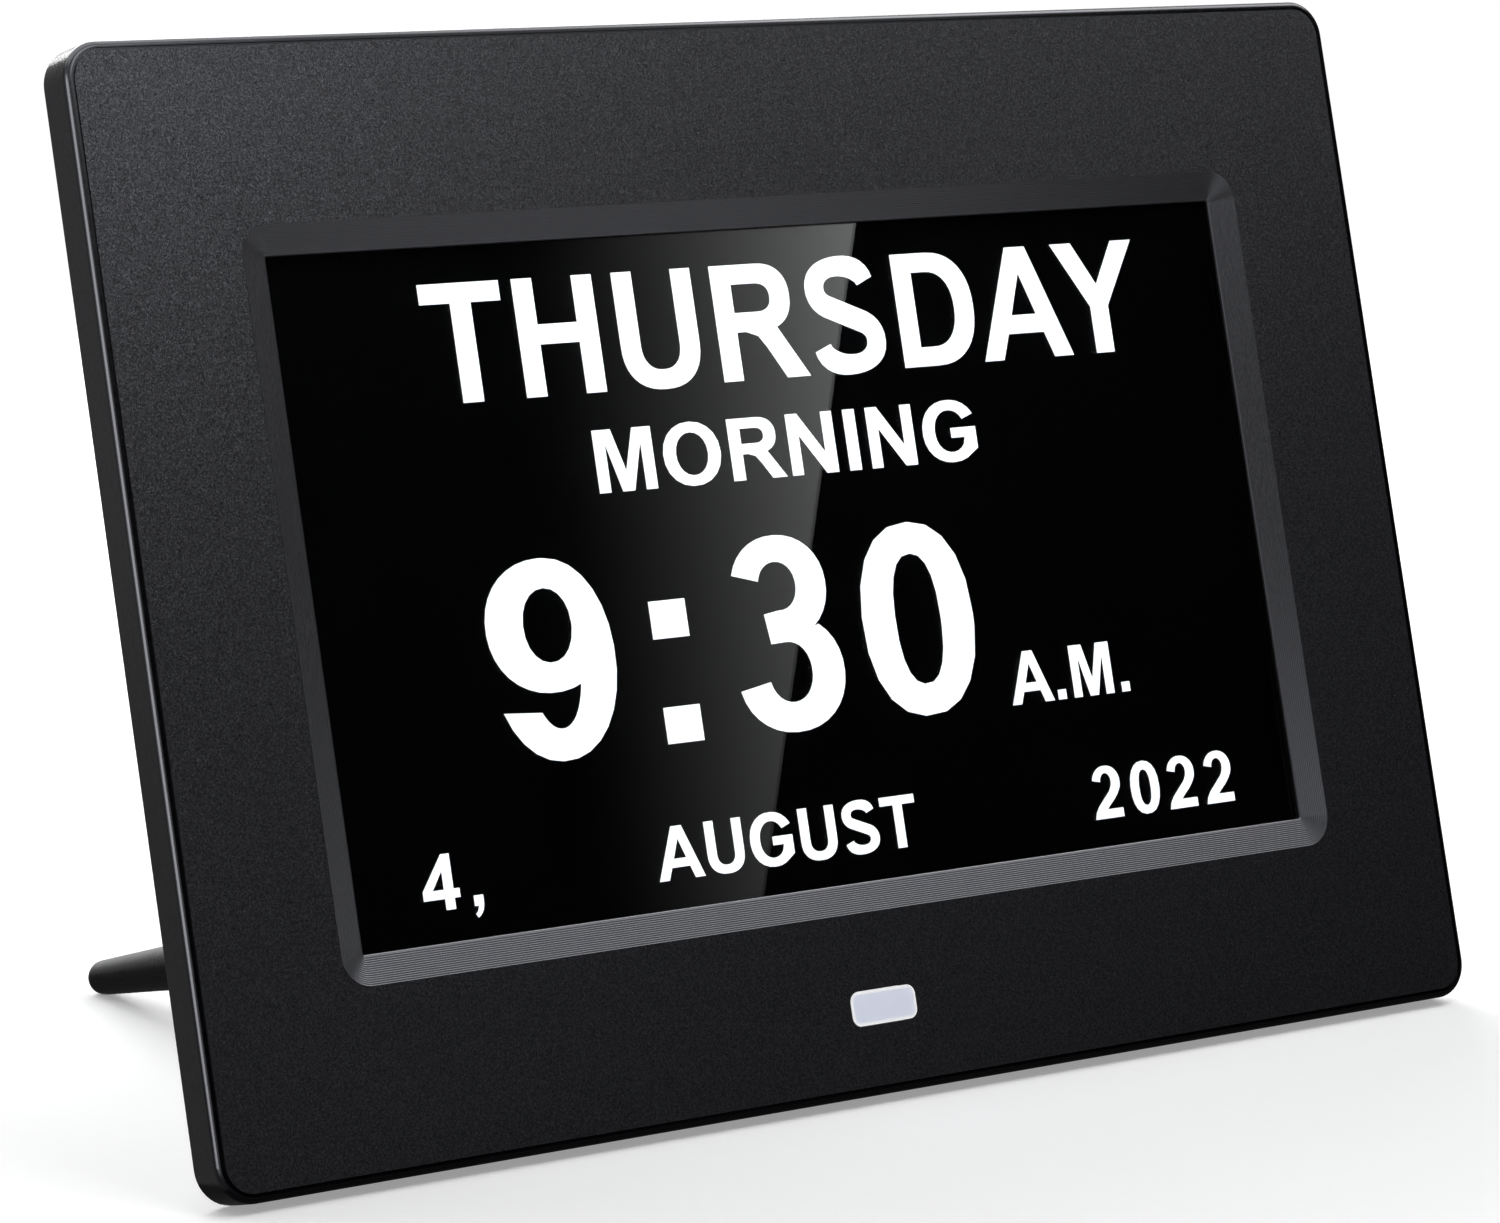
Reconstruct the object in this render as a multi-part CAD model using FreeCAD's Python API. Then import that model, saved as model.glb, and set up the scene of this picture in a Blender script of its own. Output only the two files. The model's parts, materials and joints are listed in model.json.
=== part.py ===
"""Day clock: a 7 inch display clock in a thin leaning case that stands on a screw-in rear peg.

All pieces are built in the case's own frame and placed at the end.
Case frame: origin at the middle of the screen window on the front face, X to the viewer's right,
Y into the case (the depth behind the front face), Z up along the face.  Millimetres throughout.
"""
import FreeCAD, Part
import math
import os
from FreeCAD import Vector

# ---------------------------------------------------------------- driving sizes, mm
# case
window_width = 155.0          # clear opening in front of a 7 inch wide-screen panel
window_height = 88.5
side_margin = 25.3            # window edge to case side
end_margin = 28.05            # window edge to case top and bottom
case_depth = 20.0             # front face to the back of the housing
bezel_depth = 6.2             # height of the bezel's side wall
corner_radius = 5.0
front_edge_radius = 0.8
rear_edge_radius = 0.4
bezel_wall = 2.2
face_thickness = 2.5
ledge_width = 1.2             # step inside the side wall that the rear cover sits on
groove_width = 0.3            # fine line round the grained face
groove_depth = 0.2
bevel_width = 3.9             # sloped surround of the window
bevel_drop = 1.27
bevel_inner_radius = 0.3
lip_height = 0.23             # upright edge under the bevel

# screen
lens_overlap = 3.0            # how far the lens reaches behind the lip
lens_thickness = 0.8
lens_play = 0.3
gasket_thickness = 0.2
gasket_width = 2.2
panel_width = 165.0
panel_height = 100.0
panel_depth = 3.5
panel_sheet = 0.3             # sheet steel of the panel's frame
panel_rim = 2.5               # front rim of the panel's frame
cell_thickness = 1.2
strap_x = 55.0
strap_width = 14.0
strap_thickness = 1.0
boss_radius = 3.0
boss_gap = 1.0                # panel edge to boss
panel_corner = 0.5
panel_inner_corner = 0.2

# rear cover
flange_thickness = 1.6
flange_recess = 0.2           # cover sits this far below the bezel's rear rim
flange_play = 0.15
housing_side_inset = 9.0
housing_end_inset = 6.5
housing_draft = 3.6           # the housing narrows by this much each side towards the back
housing_radius = 8.0
housing_edge_radius = 3.0
cover_wall = 2.0
cover_screw_inset = 5.8
cover_screw_end_inset = 14.0
post_radius = 2.6

# screws
thread_play = 0.03
cover_screw_radius = 1.3
cover_screw_head_radius = 2.4
cover_screw_length = 4.4
board_screw_radius = 1.0
board_screw_head_radius = 1.9
board_screw_length = 6.0
strap_screw_length = 4.0
screw_head_height = 1.3
recess_width = 0.6            # arms of the cross recess
recess_share = 0.6            # the cross reaches this share of the head's radius and height

# sensor window
sensor_height = 11.6          # above the case's bottom edge
sensor_window_width = 10.6
sensor_window_height = 4.5
sensor_window_radius = 1.3
sensor_window_flange = 1.2
sensor_flange_thickness = 0.8
sensor_play = 0.08
sensor_board_width = 26.0
sensor_board_height = 5.6
sensor_board_rise = 0.7       # middle of the board above the middle of the window
sensor_board_depth = 8.0
sensor_board_thickness = 1.0
sensor_board_corner = 0.5
sensor_post_radius = 2.0
sensor_screw_x = 11.2
receiver_x = -2.4
receiver_width = 5.4
receiver_height = 4.8
receiver_thickness = 3.0
receiver_dome = 1.7
lamp_x = 3.0
lamp_radius = 1.5

# boards
board_thickness = 1.6
board_corner = 1.0
main_board_depth = 9.4
main_board_width = 100.0
main_board_height = 52.0
main_board_rise = 14.9        # case's bottom edge to the board
key_board_depth = 11.0
key_board_width = 38.0
key_board_height = 46.0
key_board_drop = 20.3         # case's top edge to the board
key_board_x = 34.0
screw_to_board_edge = 3.5
chip_thickness = 1.2
chip_column = 52.0            # from the main board's right edge
processor_size = 14.0
processor_rise = 31.0         # this and the other rises start at the main board's bottom edge
memory_width = 12.0
memory_height = 8.0
memory_rise = 13.0
coil_size = 7.0
coil_height = 3.4
coil_column = 22.0
coil_rise = 10.4
capacitor_radius = 3.15
capacitor_height = 5.4
capacitor_column = 33.0
capacitor_rise = 13.4
capacitor_pitch = 10.0

# sockets on the housing's right side
socket_face_inset = 14.4      # case side to the plane that the sockets open in
socket_recess_depth_start = 10.4
socket_recess_depth_end = 17.4
socket_wall = 1.8
socket_play = 0.15
power_inlet_rise = 4.8
power_inlet_width = 7.0
power_inlet_depth = 6.2
power_inlet_length = 11.0
power_bore_radius = 2.0
power_bore_length = 9.5
power_pin_radius = 0.65
power_pin_recess = 0.8
usb_rise = 16.8
usb_width = 13.2
usb_depth = 6.0
usb_length = 14.0
usb_sheet = 0.4
usb_tongue_thickness = 1.9
usb_tongue_foot = 2.5
usb_tongue_inset = 0.9        # each side of the tongue to the shell
usb_tongue_recess = 1.5       # tongue's tip behind the shell's mouth
card_rise = 37.8
card_width = 26.0
card_depth = 2.8
card_length = 28.0
card_mouth_width = 24.4
card_mouth_height = 2.2
card_mouth_length = 25.0

# coin cell
cell_column = 17.8             # from the main board's left edge
cell_rise = 30.0
cell_radius = 10.0
cell_height = 3.2
cell_holder_wall = 1.6
cell_holder_floor = 1.0
cell_play = 0.15
cell_edge_radius = 0.4
cell_rim_share = 0.8          # the holder's rim hides this share of the cell's height
cell_notch_width = 6.0        # finger notch in the rim
cell_notch_reach = 2.0        # how far the notch reaches over the cell

# keys
key_cluster_rise = 16.0       # key board's bottom edge to the middle of the cluster
key_pitch = 12.5
key_round_radius = 4.3
key_bar_length = 11.0
key_bar_width = 6.2
key_bar_radius = 1.6
key_top_row_z = 23.5          # power and menu keys above the middle of the cluster
key_top_row_x = 9.5
key_recess = 0.8              # shallow tray round the keys, so that a wall doesn't press them
key_recess_margin = 3.0
key_recess_radius = 4.0
key_proud = 0.7               # above the tray
key_gap = 0.3
key_flange = 1.1
key_flange_thickness = 0.9
key_rest_gap = 0.1
key_edge_radius = 0.4
key_travel = 0.5
switch_size = 6.0
switch_height = 3.5
switch_corner = 0.4
plunger_radius = 1.7
plunger_play = 0.1
plunger_sink = 1.2

# speaker
speaker_x = -55.0
speaker_z = 8.0
speaker_radius = 15.0
speaker_depth = 5.5
speaker_rim_width = 1.6
speaker_sheet = 0.6
magnet_radius = 9.0
magnet_thickness = 2.0
grille_hole_radius = 0.9
grille_pitch = 3.2
grille_rings = 4
speaker_fence_wall = 1.2
speaker_fence_height = 3.0
speaker_play = 0.2
speaker_cone_wall = 0.6
speaker_plug_size = 5.0
speaker_plug_height = 2.4
speaker_plug_column = 3.0      # from the main board's left edge
speaker_plug_rise = 41.0

# wall keyholes and vents
keyhole_x = 62.0
keyhole_drop = 30.3           # case's top edge to the round entry
keyhole_radius = 4.5
keyhole_slot_radius = 2.2
keyhole_rise = 8.0
keyhole_pocket_depth = 5.0
keyhole_pocket_radius = 3.0
keyhole_pocket_wall = 1.2
keyhole_pocket_play = 1.0
vent_x = -14.0
vent_drop = 28.3
vent_count = 8
vent_pitch = 4.5
vent_width = 1.8
vent_height = 12.0
label_x = -12.0
label_rise = 40.3             # case's bottom edge to the middle of the bare label recess
label_width = 46.0
label_height = 32.0
label_depth = 0.3
label_radius = 1.5

# stand peg
peg_x = -53.2
peg_height = 30.2             # above the case's bottom edge
peg_reach = 114.2             # front face to the middle of the rounded tip
peg_tip_radius = 2.5
peg_root_radius = 5.75
peg_root_edge = 0.6
stud_radius = 3.0
stud_length = 7.0             # out of the peg
stud_buried = 9.0             # inside the peg
insert_radius = 4.5
insert_length = 8.5
thread_pitch = 1.0
stud_play = 0.05
peg_boss_radius = 7.0
washer_radius = 6.6
washer_thickness = 1.0
washer_sink = 0.4             # round seat that the washer lies in
washer_play = 0.3

# wires and flat cables
flat_cable_thickness = 0.3
flat_cable_bend = 1.2
flat_cable_hold = 6.0         # length that lies on each board
flat_cable_lead = 0.8         # straight past a board's edge before the bend
sensor_cable_width = 3.6
sensor_cable_gap = 1.0        # from the lamp
key_cable_width = 10.0
ribbon_width = 28.0
ribbon_column = 54.2          # middle of the ribbon from the main board's right edge
ribbon_plug_rise = 13.4
ribbon_plug_length = 4.0
ribbon_plug_overhang = 1.0
ribbon_plug_thickness = 1.1
ribbon_bend_share = 0.98      # of the radius that would leave no straight between the bends
wire_radius = 0.6
wire_bend = 5.0
wire_gap = 0.7
wire_start_gap = 0.05         # from the magnet's rim

round_end = 0.999             # rounded ends stop just short of a half circle, so their sides stay straight

# ---------------------------------------------------------------- worked out from the sizes above
case_width = window_width + 2 * side_margin
case_height = window_height + 2 * end_margin
half_width = case_width / 2
half_height = case_height / 2
case_bottom = -half_height

flange_rear = bezel_depth - flange_recess
flange_front = flange_rear - flange_thickness
rear_inner = case_depth - cover_wall
lip_rear = bevel_drop + lip_height
lens_rear = lip_rear + gasket_thickness + lens_thickness
panel_front = max(face_thickness, lens_rear)
panel_rear = panel_front + panel_depth
lens_width = window_width + 2 * lens_overlap
lens_height = window_height + 2 * lens_overlap
strap_boss_z = panel_height / 2 + boss_gap + boss_radius
strap_rear = panel_rear + strap_thickness

housing_width = case_width - 2 * housing_side_inset
housing_height = case_height - 2 * housing_end_inset
cover_screw_x = half_width - cover_screw_inset
cover_screw_z = half_height - cover_screw_end_inset
COVER_SCREWS = [(side * cover_screw_x, level * cover_screw_z)
                for side in (-1, 1) for level in (-1, 0, 1)]
STRAP_SCREWS = [(side * strap_x, level * strap_boss_z) for side in (-1, 1) for level in (-1, 1)]

keyhole_z = half_height - keyhole_drop
vent_z = half_height - vent_drop
label_z = case_bottom + label_rise

sensor_z = case_bottom + sensor_height
sensor_board_z = sensor_z + sensor_board_rise
SENSOR_SCREWS = [(-sensor_screw_x, sensor_board_z), (sensor_screw_x, sensor_board_z)]

socket_face = half_width - socket_face_inset
socket_wall_inner = socket_face - socket_wall
main_board_right = socket_wall_inner - socket_play
main_board_left = main_board_right - main_board_width
main_board_bottom = case_bottom + main_board_rise
main_board_top = main_board_bottom + main_board_height
main_board_rear = main_board_depth + board_thickness
card_left = socket_face - card_length
power_left = socket_face - power_inlet_length
power_inlet_z = main_board_bottom + power_inlet_rise
usb_z = main_board_bottom + usb_rise
card_z = main_board_bottom + card_rise
cell_x = main_board_left + cell_column
cell_z = main_board_bottom + cell_rise
speaker_plug_x = main_board_left + speaker_plug_column
speaker_plug_z = main_board_bottom + speaker_plug_rise
MAIN_BOARD_SCREWS = [(main_board_left + screw_to_board_edge, main_board_bottom + screw_to_board_edge),
                     (main_board_left + screw_to_board_edge, main_board_top - screw_to_board_edge),
                     (power_left - screw_to_board_edge, main_board_bottom + screw_to_board_edge),
                     (card_left - screw_to_board_edge, main_board_top - screw_to_board_edge)]

key_board_left = key_board_x - key_board_width / 2
key_board_right = key_board_x + key_board_width / 2
key_board_top = half_height - key_board_drop
key_board_bottom = key_board_top - key_board_height
key_board_rear = key_board_depth + board_thickness
key_cluster_x = key_board_x
key_cluster_z = key_board_bottom + key_cluster_rise
KEY_BOARD_SCREWS = [(key_board_left + screw_to_board_edge, key_board_bottom + screw_to_board_edge),
                    (key_board_right - screw_to_board_edge, key_board_bottom + screw_to_board_edge),
                    (key_board_left + screw_to_board_edge, key_cluster_z + key_pitch),
                    (key_board_right - screw_to_board_edge, key_cluster_z + key_pitch)]
switch_rear = key_board_rear + switch_height
key_flange_rear = rear_inner - key_rest_gap
key_flange_front = key_flange_rear - key_flange_thickness
key_tray = case_depth - key_recess
key_rear = key_tray + key_proud

# key name: (x, z, width, height, corner radius) of its cap, seen from behind or in front alike
round_size = 2 * key_round_radius
KEYS = {
    "ok": (key_cluster_x, key_cluster_z, round_size, round_size, key_round_radius),
    "up": (key_cluster_x, key_cluster_z + key_pitch, key_bar_length, key_bar_width, key_bar_radius),
    "down": (key_cluster_x, key_cluster_z - key_pitch, key_bar_length, key_bar_width, key_bar_radius),
    "left": (key_cluster_x - key_pitch, key_cluster_z, key_bar_width, key_bar_length, key_bar_radius),
    "right": (key_cluster_x + key_pitch, key_cluster_z, key_bar_width, key_bar_length, key_bar_radius),
    "menu": (key_cluster_x - key_top_row_x, key_cluster_z + key_top_row_z,
             round_size, round_size, key_round_radius),
    "power": (key_cluster_x + key_top_row_x, key_cluster_z + key_top_row_z,
              round_size, round_size, key_round_radius),
}

peg_z = case_bottom + peg_height
peg_seat = case_depth - washer_sink
peg_root = peg_seat + washer_thickness
insert_front = peg_seat - insert_length


def tangent_angle(rise, run, radius):
    """Angle of the line from a point that touches a circle run away and rise above it."""
    return math.atan2(rise, run) - math.asin(radius / math.hypot(rise, run))


# The case rests on the rounded rear edge of its bezel and on the peg's tip.
lean = tangent_angle(peg_height - rear_edge_radius, peg_reach - (bezel_depth - rear_edge_radius),
                     peg_tip_radius - rear_edge_radius)


# ---------------------------------------------------------------- shapes in the case frame
def outline(width, height, radius, depth, x=0.0, z=0.0):
    """Rectangle with rounded corners, in the plane at this depth."""
    w, h, r = width / 2, height / 2, radius
    bow = r * math.sqrt(0.5)
    corners = [(w - r, h - r, 1, 1), (-w + r, h - r, -1, 1), (-w + r, -h + r, -1, -1), (w - r, -h + r, 1, -1)]
    edges = []
    first = last = None
    for cx, cz, sx, sz in corners:
        on_side = Vector(x + cx + sx * r, depth, z + cz)
        on_end = Vector(x + cx, depth, z + cz + sz * r)
        middle = Vector(x + cx + sx * bow, depth, z + cz + sz * bow)
        start, end = (on_side, on_end) if sx == sz else (on_end, on_side)
        if last:
            edges.append(Part.makeLine(last, start))
        else:
            first = start
        edges.append(Part.Arc(start, middle, end).toShape())
        last = end
    edges.append(Part.makeLine(last, first))
    return Part.Wire(edges)


def prism(width, height, radius, y0, y1, x=0.0, z=0.0):
    """Rounded rectangle carried straight from depth y0 to y1."""
    return Part.Face(outline(width, height, radius, y0, x, z)).extrude(Vector(0, y1 - y0, 0))


def taper(front, rear):
    """Solid between two rounded rectangles, each given as width, height, radius and depth."""
    return Part.makeLoft([outline(*front), outline(*rear)], True, True)


def block(x0, x1, y0, y1, z0, z1):
    """Plain box between the given planes."""
    return Part.makeBox(x1 - x0, y1 - y0, z1 - z0, Vector(x0, y0, z0))


def rod(x, z, radius, y0, y1):
    """Cylinder along the depth."""
    return Part.makeCylinder(radius, y1 - y0, Vector(x, y0, z), Vector(0, 1, 0))


def fused(shapes):
    """One solid from several that touch or overlap."""
    shape = shapes[0].fuse(shapes[1:]) if len(shapes) > 1 else shapes[0]
    return shape.removeSplitter()


def separate(shapes):
    """Identical pieces that stay separate solids in one node."""
    return Part.makeCompound(shapes)


def edges_at_depth(shape, depth):
    """Edges that lie wholly in the plane at this depth."""
    return [edge for edge in shape.Edges
            if abs(edge.BoundBox.YMin - depth) < 1e-4 and abs(edge.BoundBox.YMax - depth) < 1e-4]


def screw(x, z, seat, tip, radius, head_radius, sunk=False):
    """Cross-recessed screw along the depth: shank from the seat to the tip, pan or sunk head."""
    way = 1 if seat > tip else -1                 # the head lies this way from the seat
    axis = Vector(0, way, 0)
    shank = Part.makeCylinder(radius, abs(seat - tip), Vector(x, tip, z), axis)
    if sunk:
        top = seat
        base = Vector(x, seat - way * screw_head_height, z)
        head = Part.makeCone(radius, head_radius, screw_head_height, base, axis)
    else:
        top = seat + way * screw_head_height
        straight = screw_head_height / 2
        head = Part.makeCylinder(head_radius, straight, Vector(x, seat, z), axis)
        crown = Part.makeCone(head_radius, head_radius - straight, screw_head_height - straight,
                              Vector(x, seat + way * straight, z), axis)
        head = head.fuse(crown)
    arm = head_radius * recess_share
    sink = screw_head_height * recess_share
    y0, y1 = sorted((top - way * sink, top + way * sink))
    half = recess_width / 2
    cross = block(x - arm, x + arm, y0, y1, z - half, z + half).fuse(
        block(x - half, x + half, y0, y1, z - arm, z + arm))
    return shank.fuse(head).cut(cross).removeSplitter()


def bent_path(points, bend):
    """Straight runs joined by tangent arcs of one radius."""
    edges = []
    start = points[0]
    for before, corner, after in zip(points, points[1:], points[2:]):
        inward = (corner - before).normalize()
        outward = (after - corner).normalize()
        turn = inward.getAngle(outward)
        reach = bend * math.tan(turn / 2)
        arc_start = corner - inward * reach
        arc_end = corner + outward * reach
        to_centre = (outward - inward).normalize()
        middle = corner + to_centre * (bend / math.cos(turn / 2) - bend)
        edges.append(Part.makeLine(start, arc_start))
        edges.append(Part.Arc(arc_start, middle, arc_end).toShape())
        start = arc_end
    edges.append(Part.makeLine(start, points[-1]))
    return Part.Wire(edges)


def flat_cable(route, x0, x1, bend):
    """Flat cable along a route of (depth, z) points, between x0 and x1."""
    path = bent_path([Vector(x0, y, z) for y, z in route], bend)
    half = flat_cable_thickness / 2
    across = Vector(0, 1, 0) if route[0][0] == route[1][0] else Vector(0, 0, 1)
    start = Vector(x0, *route[0])
    strip = Part.Face(Part.makePolygon([start - across * half, start + across * half,
                                        start + across * half + Vector(x1 - x0, 0, 0),
                                        start - across * half + Vector(x1 - x0, 0, 0),
                                        start - across * half]))
    return path.makePipe(strip)


def round_wire(points, radius, bend):
    """Insulated wire along straight runs and arcs."""
    heading = (points[1] - points[0]).normalize()
    disc = Part.Face(Part.Wire(Part.makeCircle(radius, points[0], heading)))
    return bent_path(points, bend).makePipe(disc)


# ---------------------------------------------------------------- case
def front_bezel():
    shell = prism(case_width, case_height, corner_radius, 0, bezel_depth)
    shell = shell.makeFillet(front_edge_radius, edges_at_depth(shell, 0))
    shell = shell.makeFillet(rear_edge_radius, edges_at_depth(shell, bezel_depth))
    inner_width = case_width - 2 * bezel_wall
    inner_height = case_height - 2 * bezel_wall
    inner_radius = corner_radius - bezel_wall
    shell = shell.cut(prism(inner_width, inner_height, inner_radius, flange_front, bezel_depth))
    shell = shell.cut(prism(inner_width - 2 * ledge_width, inner_height - 2 * ledge_width,
                            inner_radius - ledge_width, face_thickness, flange_front))
    posts = [rod(x, z, post_radius, face_thickness, flange_front) for x, z in COVER_SCREWS]
    posts += [rod(x, z, boss_radius, face_thickness, panel_rear) for x, z in STRAP_SCREWS]
    posts += [rod(x, z, sensor_post_radius, face_thickness, sensor_board_depth) for x, z in SENSOR_SCREWS]
    shell = shell.fuse(posts)

    window = [prism(window_width, window_height, bevel_inner_radius, 0, face_thickness),
              taper((window_width + 2 * bevel_width, window_height + 2 * bevel_width,
                     bevel_inner_radius + bevel_width, 0),
                    (window_width, window_height, bevel_inner_radius, bevel_drop)),
              prism(lens_width + 2 * lens_play, lens_height + 2 * lens_play, corner_radius,
                    lip_rear, face_thickness)]
    groove_inset = front_edge_radius + groove_width / 2
    groove = prism(case_width - 2 * groove_inset, case_height - 2 * groove_inset,
                   corner_radius - groove_inset, 0, groove_depth)
    island_inset = groove_inset + groove_width
    groove = groove.cut(prism(case_width - 2 * island_inset, case_height - 2 * island_inset,
                              corner_radius - island_inset, 0, groove_depth))
    sensor_hole = prism(sensor_window_width + 2 * sensor_play, sensor_window_height + 2 * sensor_play,
                        sensor_window_radius + sensor_play, 0, face_thickness, 0, sensor_z)
    cover_tip = flange_rear - cover_screw_length
    holes = [rod(x, z, cover_screw_radius + thread_play, cover_tip, flange_front)
             for x, z in COVER_SCREWS]
    holes += [rod(x, z, cover_screw_radius + thread_play, strap_rear - strap_screw_length, panel_rear)
              for x, z in STRAP_SCREWS]
    sensor_seat = sensor_board_depth + sensor_board_thickness
    holes += [rod(x, z, board_screw_radius + thread_play, sensor_seat - board_screw_length,
                  sensor_board_depth) for x, z in SENSOR_SCREWS]
    return shell.cut(window + [groove, sensor_hole] + holes).removeSplitter()


def housing(inset):
    """Tapered housing, drawn in by this much all over except at its open front."""
    rear = case_depth - inset
    run = rear - flange_rear
    narrowing = housing_draft * run / (case_depth - flange_rear)
    base = (housing_width - 2 * inset, housing_height - 2 * inset, housing_radius - inset, flange_rear)
    back = (base[0] - 2 * narrowing, base[1] - 2 * narrowing, base[2] - narrowing / 2, rear)
    solid = taper(base, back)
    return solid.makeFillet(housing_edge_radius - inset / 2, edges_at_depth(solid, rear))


def keyhole(x, radius, slot_radius, y0, y1):
    """Round entry with a narrower slot that runs up from it."""
    slot = prism(2 * slot_radius, keyhole_rise + 2 * slot_radius, slot_radius * round_end, y0, y1,
                 x, keyhole_z + keyhole_rise / 2)
    return rod(x, keyhole_z, radius, y0, y1).fuse(slot).removeSplitter()


def keyhole_pocket(x, grow, y0, y1):
    """Closed box behind a keyhole, with room for the screw's head to slide up."""
    reach = keyhole_radius + keyhole_pocket_play + grow
    return prism(2 * reach, keyhole_rise + 2 * reach, keyhole_pocket_radius + grow, y0, y1,
                 x, keyhole_z + keyhole_rise / 2)


def key_tray_recess():
    """Shallow rounded tray round all the keys, cut into the back."""
    reach = key_pitch + key_bar_width / 2 + key_recess_margin
    top = key_cluster_z + key_top_row_z + key_round_radius + key_recess_margin
    bottom = key_cluster_z - reach
    return prism(2 * reach, top - bottom, key_recess_radius, key_tray, case_depth,
                 key_cluster_x, (top + bottom) / 2)


def grille_holes():
    """Round holes on rings about the speaker's axis."""
    holes = [rod(speaker_x, speaker_z, grille_hole_radius, rear_inner, case_depth)]
    for ring in range(1, grille_rings):
        for step in range(6 * ring):
            angle = 2 * math.pi * step / (6 * ring)
            holes.append(rod(speaker_x + ring * grille_pitch * math.cos(angle),
                             speaker_z + ring * grille_pitch * math.sin(angle),
                             grille_hole_radius, rear_inner, case_depth))
    return holes


def socket_openings():
    """Holes in the socket wall, each the outline of its socket with a little play."""
    openings = []
    for z, width, depth in ((power_inlet_z, power_inlet_width, power_inlet_depth),
                            (usb_z, usb_width, usb_depth), (card_z, card_width, card_depth)):
        half = width / 2 + socket_play
        openings.append(block(socket_wall_inner, socket_face, main_board_rear - socket_play,
                              main_board_rear + depth + socket_play, z - half, z + half))
    return openings


def rear_cover():
    inner_width = case_width - 2 * bezel_wall
    inner_height = case_height - 2 * bezel_wall
    outside = housing(0)
    flange = prism(inner_width - 2 * flange_play, inner_height - 2 * flange_play,
                   corner_radius - bezel_wall - flange_play, flange_front, flange_rear)
    inside = housing(cover_wall)
    mouth = prism(housing_width - 2 * cover_wall, housing_height - 2 * cover_wall,
                  housing_radius - cover_wall, flange_front, flange_rear)
    cover = outside.fuse(flange).cut([inside, mouth])

    socket_low = main_board_bottom + socket_play
    lining = block(socket_wall_inner, half_width, main_board_depth - socket_wall, rear_inner,
                   socket_low, main_board_top).common(outside)
    recess = block(socket_face, half_width, socket_recess_depth_start, socket_recess_depth_end,
                   socket_low + socket_wall, main_board_top - socket_wall)
    inner = [lining, rod(peg_x, peg_z, peg_boss_radius, insert_front - cover_wall, rear_inner)]
    inner += [rod(x, z, post_radius, main_board_rear, rear_inner) for x, z in MAIN_BOARD_SCREWS]
    inner += [rod(x, z, post_radius, key_board_rear, rear_inner) for x, z in KEY_BOARD_SCREWS]
    fence_radius = speaker_radius + speaker_play
    inner.append(rod(speaker_x, speaker_z, fence_radius + speaker_fence_wall,
                     rear_inner - speaker_fence_height, rear_inner).cut(
        rod(speaker_x, speaker_z, fence_radius, rear_inner - speaker_fence_height, rear_inner)))
    pocket_front = rear_inner - keyhole_pocket_depth
    inner += [keyhole_pocket(side * keyhole_x, keyhole_pocket_wall,
                             pocket_front - keyhole_pocket_wall, rear_inner) for side in (-1, 1)]
    cover = cover.fuse(inner)

    cuts = [recess] + socket_openings() + grille_holes()
    for side in (-1, 1):
        cuts.append(keyhole_pocket(side * keyhole_x, 0, pocket_front, rear_inner))
        cuts.append(keyhole(side * keyhole_x, keyhole_radius, keyhole_slot_radius, rear_inner, case_depth))
    cuts.append(rod(peg_x, peg_z, insert_radius, insert_front, peg_seat))
    cuts.append(rod(peg_x, peg_z, washer_radius + washer_play, peg_seat, case_depth))
    cuts.append(key_tray_recess())
    for x, z, width, height, radius in KEYS.values():
        cuts.append(prism(width + 2 * key_gap, height + 2 * key_gap, (radius + key_gap) * round_end,
                          rear_inner, key_tray, x, z))
    first_vent = vent_x - (vent_count - 1) * vent_pitch / 2
    cuts += [prism(vent_width, vent_height, vent_width / 2 * round_end, rear_inner, case_depth,
                   first_vent + index * vent_pitch, vent_z) for index in range(vent_count)]
    cuts.append(prism(label_width, label_height, label_radius, case_depth - label_depth, case_depth,
                      label_x, label_z))
    for x, z in COVER_SCREWS:
        cuts.append(rod(x, z, cover_screw_radius + thread_play, flange_front, flange_rear))
        cuts.append(Part.makeCone(cover_screw_radius + thread_play, cover_screw_head_radius + thread_play,
                                  screw_head_height, Vector(x, flange_rear - screw_head_height, z),
                                  Vector(0, 1, 0)))
    board_reach = board_screw_length - board_thickness
    for screws, seat in ((MAIN_BOARD_SCREWS, main_board_rear), (KEY_BOARD_SCREWS, key_board_rear)):
        cuts += [rod(x, z, board_screw_radius + thread_play, seat, seat + board_reach) for x, z in screws]
    return cover.cut(cuts).removeSplitter()


def cover_screws():
    return separate([screw(x, z, flange_rear, flange_rear - cover_screw_length, cover_screw_radius,
                           cover_screw_head_radius, sunk=True) for x, z in COVER_SCREWS])


# ---------------------------------------------------------------- screen
def lens_gasket():
    frame = prism(window_width + 2 * gasket_width, window_height + 2 * gasket_width, gasket_width,
                  lip_rear, lip_rear + gasket_thickness)
    return frame.cut(prism(window_width, window_height, bevel_inner_radius,
                           lip_rear, lip_rear + gasket_thickness))


def screen_lens():
    return prism(lens_width, lens_height, corner_radius - lens_play, lip_rear + gasket_thickness, lens_rear)


def panel_frame():
    can = prism(panel_width, panel_height, panel_corner, panel_front, panel_rear)
    can = can.cut(prism(panel_width - 2 * panel_sheet, panel_height - 2 * panel_sheet, panel_inner_corner,
                        panel_front + panel_sheet, panel_rear))
    return can.cut(prism(panel_width - 2 * panel_rim, panel_height - 2 * panel_rim, panel_inner_corner,
                         panel_front, panel_front + panel_sheet))


def panel_cell():
    front = panel_front + panel_sheet
    return prism(panel_width - 2 * panel_sheet, panel_height - 2 * panel_sheet, panel_inner_corner,
                 front, front + cell_thickness)


def backlight_unit():
    front = panel_front + panel_sheet + cell_thickness
    return prism(panel_width - 2 * panel_sheet, panel_height - 2 * panel_sheet, panel_inner_corner,
                 front, panel_rear)


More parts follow.
